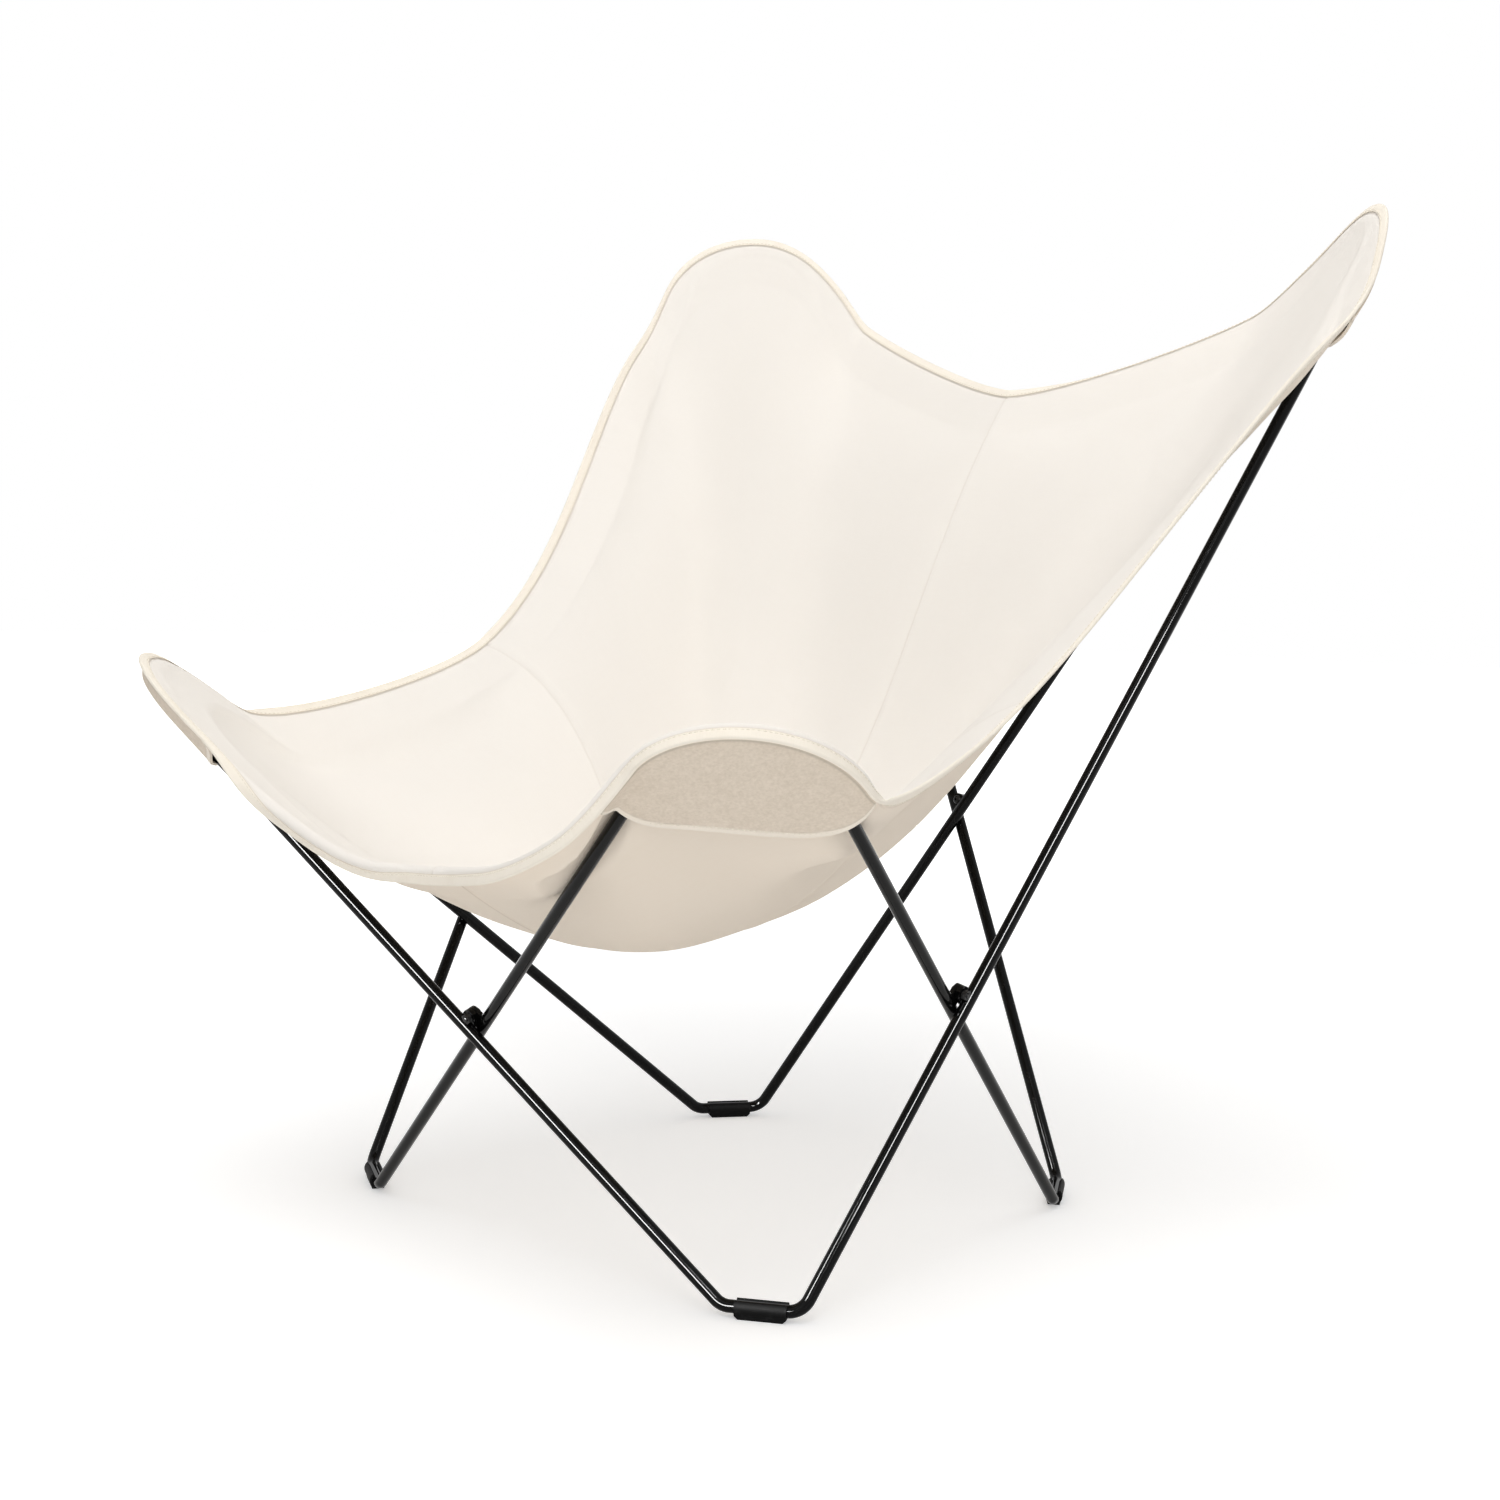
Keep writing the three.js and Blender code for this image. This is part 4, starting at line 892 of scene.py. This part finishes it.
for turn, name in enumerate(ringOrder):
    columns = ringColumns(turn)
    panel, normals = cloth[:, columns], clothNormals[:, columns]
    points, quads, tris = clothShell(panel, normals, slingForm["thickness"], True)
    outerFace = np.repeat([0.0, 1.0], len(points) // 2)
    innerShade, outerShade = (shellValues(shade[:, columns], True) for shade in (crease, outerCrease))
    values = dict(outerFace=outerFace, creaseShade=np.where(outerFace > 0, outerShade, innerShade))
    maps = dict(clothMap=shellValues(clothMap[:, columns], True))
    putMesh("canvas_panel_" + name, points, quads, tris, canvas, "canvas", clothSharp,
                           maps, values)
    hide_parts("sling_panel_" + name)
    print("panel", name, "area", round(sheetArea(panel), 4), "triangles", 2 * len(quads) + len(tris))


# pocket flaps: from the rim under the tape, round the outside of the rod, down to a stitched hem

flapForm = dict(
    bow=dict(front_left=45.0, front_right=23.0, back_left=30.0, back_right=30.0), power=6.0,
    begin=dict(front_left=-0.006, front_right=0.004, back_left=0.006, back_right=0.006),
    finish=dict(front_left=0.015, front_right=0.004, back_left=-0.018, back_right=0.004),
    start=3.0, rimSpan=0.5, tuck=7.0, slack=2.6, overRod=6.9, thickness=1.5,
    columns=150, rows=74, rowGain=1.25,
    wave=1.0, waveTurns=(9.0, 2.0), crown=2.5, insideFrom=4.0, insideReach=36.0,
    hemWidth=6.5, hemFold=1.0, hemStep=0.8, stitchInset=1.2, stitchDip=(0.5, 0.9),
    # rimShade: painted shadow under the tape's nose at the flap's top; hemShade: painted shade at the hem's
    # step
    rimShade=(0.8, 1.6), rimShadeAt=4.0, hemShade=(0.35, 0.8),
)


def pocketFlap(name):
    # depth under the horn's plane goes by the rod distance, from behind the rolled edge to outside the rod
    g, horn, edge = flapForm, horns[name], slingForm["edgeShare"]
    t = np.linspace(0, 1, g["columns"] + 1)
    ray = slingRays(name, mix(edge + g["begin"][name], 1 - edge - g["finish"][name], t))
    rim = hemPoints(name, ray, 1 - np.array([[g["start"] + g["rimSpan"]], [g["start"]]]) / ray["hem"])
    facing = unit(np.cross(rim[1] - rim[0], np.gradient(rim[1], axis=0)))
    above = np.cross(ray["tangent"], np.gradient(ray["end"], axis=0))
    facing = facing * np.sign(dot(above, ray["upper"]))[:, None]
    rimD, rimW, rimB, rimN = againstRod(horn, rim[1] - facing * g["slack"])
    drop = g["bow"][name] * (1 - np.abs(2 * t - 1) ** g["power"])
    s = np.linspace(0, 1, g["rows"] + 1)[:, None] ** g["rowGain"]
    w = mix(rimW, mix(rimW[0], rimW[-1], t), s)
    b = mix(rimB, mix(rimB[0], rimB[-1], t) + drop, s)
    d = againstRod(horn, hornPoint(horn, w, b, 0 * w))[0]
    depth = mix(-rimN, g["overRod"], smooth((rimD - d) / np.maximum(rimD - g["tuck"], 1.0)))
    inside = smooth((-d - g["insideFrom"]) / g["insideReach"])
    alongTurn, downTurn = g["waveTurns"]
    wave = g["wave"] * np.sin(t * alongTurn + s * downTurn) * s
    crown = g["crown"] * np.sin(np.pi * t) * 4 * s * (1 - s)
    return hornPoint(horn, w, b, -(depth + inside * (wave + crown)))


flaps, flapRows = {}, []
for name in ringOrder:
    g, flap = flapForm, pocketFlap(name)
    normals = gridNormals(flap)
    normals = normals * np.sign(dot(normals, -horns[name]["n"]))[..., None]
    span = sweepLength(flap, 0)
    toHem = span[-1:] - span
    fold = smooth((g["hemWidth"] - toHem) / g["hemStep"])
    toStitch = toHem - g["hemWidth"] + g["stitchInset"]
    thickness = g["thickness"] + g["hemFold"] * fold - lineShade(toStitch, g["stitchDip"])
    points, quads, tris = clothShell(flap, normals, thickness)
    # painted shadow under the tape's nose and painted shade at the hem's step
    shade = lineShade(span - g["rimShadeAt"], g["rimShade"]) + lineShade(toHem - g["hemWidth"], g["hemShade"])
    flatMap = np.stack([np.broadcast_to(sweepLength(flap[:1], 1), span.shape), span], -1)
    maps = dict(clothMap=shellValues(flatMap))
    values = dict(creaseShade=shellValues(np.clip(shade, 0, 1)), hemStrip=shellValues(fold))
    flaps[name] = putMesh("pocket_flap_cloth_" + name, points, quads, tris, flapCloth, "pocket_canvas",
                          clothSharp, maps, values)
    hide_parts("pocket_flap_" + name)
    stitched = int(np.argmin(np.abs(toStitch[:, g["columns"] // 2])))
    flapRows.append((flap[stitched] + normals[stitched] * (0.5 * g["thickness"]), normals[stitched]))
    print("flap", name, "area", round(sheetArea(flap), 4))


# binding: a tape folded over the edge all the way round, following the hem's own roll

tapeForm = dict(
    width=8.0, thickness=0.75, play=0.08, stitchAt=1.7, stitchDip=0.22, dipWidth=0.5,
    rounding=0.32, roundFrom=7.1, roundReach=0.9, noseSteps=9, noseReach=(0.9, 0.6), edgeShade=0.7,
    ways=(8.0, 7.75, 7.2, 6.75, 6.3, 5.85, 5.2, 4.2, 3.0, 1.8, 0.8, 0.0),  # from the edge, close at the seam
)
tapeWays = np.array(tapeForm["ways"])
toStitches = tapeWays - (tapeForm["width"] - tapeForm["stitchAt"])


def bindingTape():
    # folded section: in along the sitter's side, round the edge, back along the outside
    # each place is given by its way from the edge and its height over the cloth
    g = tapeForm
    dip = g["stitchDip"] * bell(toStitches, g["dipWidth"])
    rounding = g["rounding"] * smooth((tapeWays - g["roundFrom"]) / g["roundReach"])
    bare = 0.5 * slingForm["thickness"] + g["play"]
    full = bare + g["thickness"]
    height = (full - dip - rounding)[:, None, None]
    nose = np.linspace(0, math.pi, g["noseSteps"] + 2)[1:-1, None, None]
    outReach, inReach = g["noseReach"]
    runs = unit(np.roll(sheet[-1], -1, 0) - np.roll(sheet[-1], 1, 0))
    sections = []
    for turn, (name, ray) in enumerate(zip(ringOrder, ringRays)):
        columns = np.arange(turn * quarterColumns, (turn + 1) * quarterColumns)
        base = hemPoints(name, ray, 1 - tapeWays[:, None] / ray["hem"])
        outDirection = np.gradient(base, axis=0)
        outDirection[-1] = outDirection[-2]
        facing = unit(np.cross(outDirection, runs[columns]))
        facing = facing * np.sign(dot(facing, inward[-1, columns]))[..., None]
        end, up, out = base[-1], facing[-1], unit(outDirection[-1])
        noseOut = end + (np.sin(nose) * out * outReach + np.cos(nose) * up) * full
        noseIn = end + (np.sin(nose) * out * inReach + np.cos(nose) * up) * bare
        tops, unders = base + facing * height, base - facing * height
        topsIn, undersIn = base + facing * bare, base - facing * bare
        sections.append(np.concatenate([tops, noseOut, unders[::-1], undersIn, noseIn[::-1], topsIn[::-1]]))
    return np.concatenate(sections, 1)


tapeSection = bindingTape()
underEnd = 2 * len(tapeWays) + tapeForm["noseSteps"]  # where the outer side ends and the lining begins
quads = gridFaces(tapeSection.shape[0], tapeSection.shape[1], True, True)
alongMap = np.stack([sweepLength(tapeSection, 0), np.broadcast_to(rimRun, tapeSection.shape[:2])], -1)
# edgeShade: painted shade where the tape's free edges lie on the cloth
edgeShade = np.zeros(tapeSection.shape[:2])
edgeShade[:2] = edgeShade[underEnd - 2:underEnd + 2] = tapeForm["edgeShade"]
binding = putMesh("binding_tape_round", tapeSection.reshape(-1, 3), quads, material=tape,
                  slot="binding_tape", sharp=clothSharp, maps=dict(clothMap=alongMap.reshape(-1, 2)),
                  values=dict(creaseShade=edgeShade.reshape(-1)))
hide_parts("edge_binding")
print("binding folded, length", round(float(rimRun[0, -1]) * mm, 3), "m")


# sewing: one small rounded thread for each stitch

stitchForm = dict(
    length=3.0, gap=1.1, radius=0.42, sink=0.1, sides=6, sharp=80.0,
    rings=(0.0, 0.12, 0.5, 0.88, 1.0), fat=(0.25, 0.8, 1.0, 0.8, 0.25),
    ends=((0, 1, 2, 3), (0, 3, 4, 5)),  # a six-sided end closed by two faces
)


def stitchRow(line, normals):
    # short swollen tubes spaced evenly along a line, arched a little off the cloth
    g = stitchForm
    way = sweepLength(line[None], 1)[0]
    pitch = g["length"] + g["gap"]
    count = int(way[-1] // pitch)
    ring, fat = np.array(g["rings"]), np.array(g["fat"])[None, :, None, None]
    places = (np.arange(count)[:, None] * pitch + ring[None] * g["length"]).ravel()
    at, up = (np.stack([np.interp(places, way, values[:, k]) for k in range(3)], -1)
              for values in (line, normals))
    at, up = at.reshape(count, -1, 3), unit(up.reshape(count, -1, 3))
    side = unit(np.cross(unit(at[:, -1:] - at[:, :1]), up))
    arch = (g["radius"] * (1 - (2 * ring - 1) ** 2) - g["sink"])[None, :, None]
    a = (np.arange(g["sides"]) * 2 * math.pi / g["sides"])[None, None, :, None]
    section = np.cos(a) * side[:, :, None] + np.sin(a) * up[:, :, None]
    skin = (at + up * arch)[:, :, None] + g["radius"] * fat * section
    per = len(ring) * g["sides"]
    ends = np.array(g["ends"])
    body = gridFaces(len(ring), g["sides"], False, True)
    faces = np.concatenate([body, ends[:, ::-1], ends + per - g["sides"]])
    quads = (np.arange(count)[:, None, None] * per + faces[None]).reshape(-1, 4)
    return skin.reshape(-1, 3), quads


def sewRows(name, rows, slot):  # all rows in one mesh, each numbered on from the row before
    shapes = [stitchRow(line, normals) for line, normals in rows]
    starts = np.cumsum([0] + [len(points) for points, quads in shapes[:-1]])
    allPoints = np.concatenate([points for points, quads in shapes])
    allQuads = np.concatenate([quads + start for start, (points, quads) in zip(starts, shapes)])
    print(name, len(allQuads), "faces")
    return putMesh(name, allPoints, allQuads, material=thread, slot=slot, sharp=stitchForm["sharp"])


topIndex = int(np.argmin(np.abs(toStitches)))
underIndex = underEnd - 1 - topIndex
tapeRows = []
for skin, lining in ((topIndex, -1 - topIndex), (underIndex, underEnd + topIndex)):
    tapeRows.append((tapeSection[skin], unit(tapeSection[skin] - tapeSection[lining])))
tapeSewing = sewRows("binding_stitches", tapeRows, "binding_tape")
sewRows("flap_hem_stitches", flapRows, "pocket_canvas")


# the size each piece of cloth was cut to, looked up for each quarter's panel and flap

cutSizes = dict(  # width and length of the cloth before sewing, and its area
    panelFront=((0.48, 0.53), 0.183), panelBack=((0.50, 0.90), 0.286),
    flapFront=((0.29, 0.12), 0.0196), flapBack=((0.28, 0.14), 0.0232), tape=(0.023, 3.89),
)
for name in ringOrder:
    end = "Front" if name.startswith("front") else "Back"
    flat, area = cutSizes["panel" + end]
    flat, area = cutSizes["flap" + end]


# stage, light and camera

stageForm = dict(
    radius=7.0, rings=60, ringGain=1.6, spokes=96, roughness=0.9,
    colour=0.86, grain=(3.0, 2.0), grainColour=0.8, grainShare=0.02,
    bounce=0.18, glow=0.36, fade=(0.7, 2.4),  # glow as light, as seen under the chair, and its way to white
)


def studioFloor():
    # flat disc in rings whose spacing grows outwards
    g = stageForm
    radius = g["radius"] / mm * np.linspace(0.0, 1.0, g["rings"] + 1)[1:, None] ** g["ringGain"]
    a = np.arange(g["spokes"]) * 2 * math.pi / g["spokes"]
    grid = np.stack([radius * np.cos(a), radius * np.sin(a), 0 * radius * a], -1)
    points = np.concatenate([[[0.0, 0.0, 0.0]], grid.reshape(-1, 3)])
    quads = gridFaces(g["rings"], g["spokes"], False, True) + 1
    ring = np.arange(g["spokes"])
    tris = np.stack([np.zeros(g["spokes"], int), ring + 1, (ring + 1) % g["spokes"] + 1], -1)
    material, wire = newFinish("paleFloor")
    seen, place = seenRays(wire), objectPlace(wire)
    far = wire.add("ShaderNodeVectorMath", {"operation": "LENGTH"}, {0: place}, out=1).between(*g["fade"])
    level = seen * (far * (1.0 - g["glow"]) + g["glow"] - g["bounce"]) + g["bounce"]
    speckle = place.noise(*g["grain"]) * g["grainShare"]
    colour = speckle.blend(grey(g["colour"]), grey(g["grainColour"]))
    closeFinish(wire, Base_Color=colour, Roughness=g["roughness"], Specular_IOR_Level=0.0,
                Emission_Color=level.blend(grey(0.0), grey(1.0)), Emission_Strength=1.0)
    return putMesh("studio_floor", points, quads[:, ::-1], tris, material, closed=False)


studioFloor()

lightForm = dict(
    sky=0.53,
    lamps=dict(  # place, aim, size in metres, turn in degrees, watts
        topSoftbox=((0.3, -0.6, 3.0), (0.0, 0.0, 0.4), (2.6, 2.6), 0.0, 45.0),
        frontSoftbox=((2.4, -1.9, 2.0), (0.0, 0.0, 0.5), (1.6, 1.6), 0.0, 14.0),
        sideSoftbox=((-3.0, -1.2, 1.6), (0.0, 0.0, 0.5), (1.6, 1.6), 0.0, 0.8),
    ),
    strips=dict(  # strips that only glossy surfaces mirror, each set along the rod it lights
        frontRodStrip=((0.38, -2.62, 1.16), (-0.1, -0.365, 0.293), (1.9, 0.6), -36.3, 520.0),
        rightRodStrip=((1.94, -1.46, 1.54), (0.33, -0.03, 0.31), (1.2, 0.45), 60.3, 220.0),
    ),
)
world = bpy.data.worlds.new("studio")
scene.world = world
world.use_nodes = True
world.node_tree.nodes.clear()
wire = Wire(world.node_tree)
sky = wire.add("ShaderNodeBackground", {}, {"Color": grey(1.0), "Strength": lightForm["sky"]})
white = wire.add("ShaderNodeBackground", {}, {"Color": grey(1.0), "Strength": 1.0})
shown = wire.add("ShaderNodeMixShader", {}, {0: seenRays(wire), 1: sky, 2: white})
wire.add("ShaderNodeOutputWorld", {}, {"Surface": shown})


def standing(right, up, back, place):  # world matrix from three axes and a place
    axes = np.stack([right, up, back], 1)
    return Matrix([[*row, p] for row, p in zip(axes, place)] + [[0, 0, 0, 1]])


def turned(right, up, angle):  # both axes turned by an angle in degrees in their own plane
    c, s = math.cos(math.radians(angle)), math.sin(math.radians(angle))
    return right * c + up * s, up * c - right * s


for name, (place, aim, size, turn, power) in [*lightForm["lamps"].items(), *lightForm["strips"].items()]:
    lamp = bpy.data.lights.new(name, "AREA")
    lamp.shape, lamp.energy = "RECTANGLE", power
    lamp.size, lamp.size_y = size
    holder = bpy.data.objects.new(name, lamp)
    back = unit(np.array(place) - np.array(aim))
    level = unit(np.cross([0.0, 0.0, 1.0], back))
    holder.matrix_world = standing(*turned(level, np.cross(back, level), turn), back, place)
    holder.visible_diffuse = name not in lightForm["strips"]
    scene.collection.objects.link(holder)

cameraForm = dict(
    place=(1.6366, -1.7251, 0.6958), azimuth=43.418, elevation=7.046, roll=1.446,
    lens=62.74, sensor=36.0, shift=(-0.00204, 0.01225), clip=(0.05, 50.0),
)
azimuth, elevation = math.radians(cameraForm["azimuth"]), math.radians(cameraForm["elevation"])
right = np.array([math.cos(azimuth), math.sin(azimuth), 0.0])
ahead = np.array([-math.sin(azimuth), math.cos(azimuth), 0.0])
back = np.array([0.0, 0.0, math.sin(elevation)]) - ahead * math.cos(elevation)
lens = bpy.data.cameras.new("studioCamera")
lens.sensor_width, lens.lens = cameraForm["sensor"], cameraForm["lens"]
lens.shift_x, lens.shift_y = cameraForm["shift"]
lens.clip_start, lens.clip_end = cameraForm["clip"]
camera = bpy.data.objects.new("studioCamera", lens)
axes = turned(right, np.cross(back, right), cameraForm["roll"])
camera.matrix_world = standing(*axes, back, cameraForm["place"])
scene.collection.objects.link(camera)
scene.camera = camera
print("stage, light and camera set")
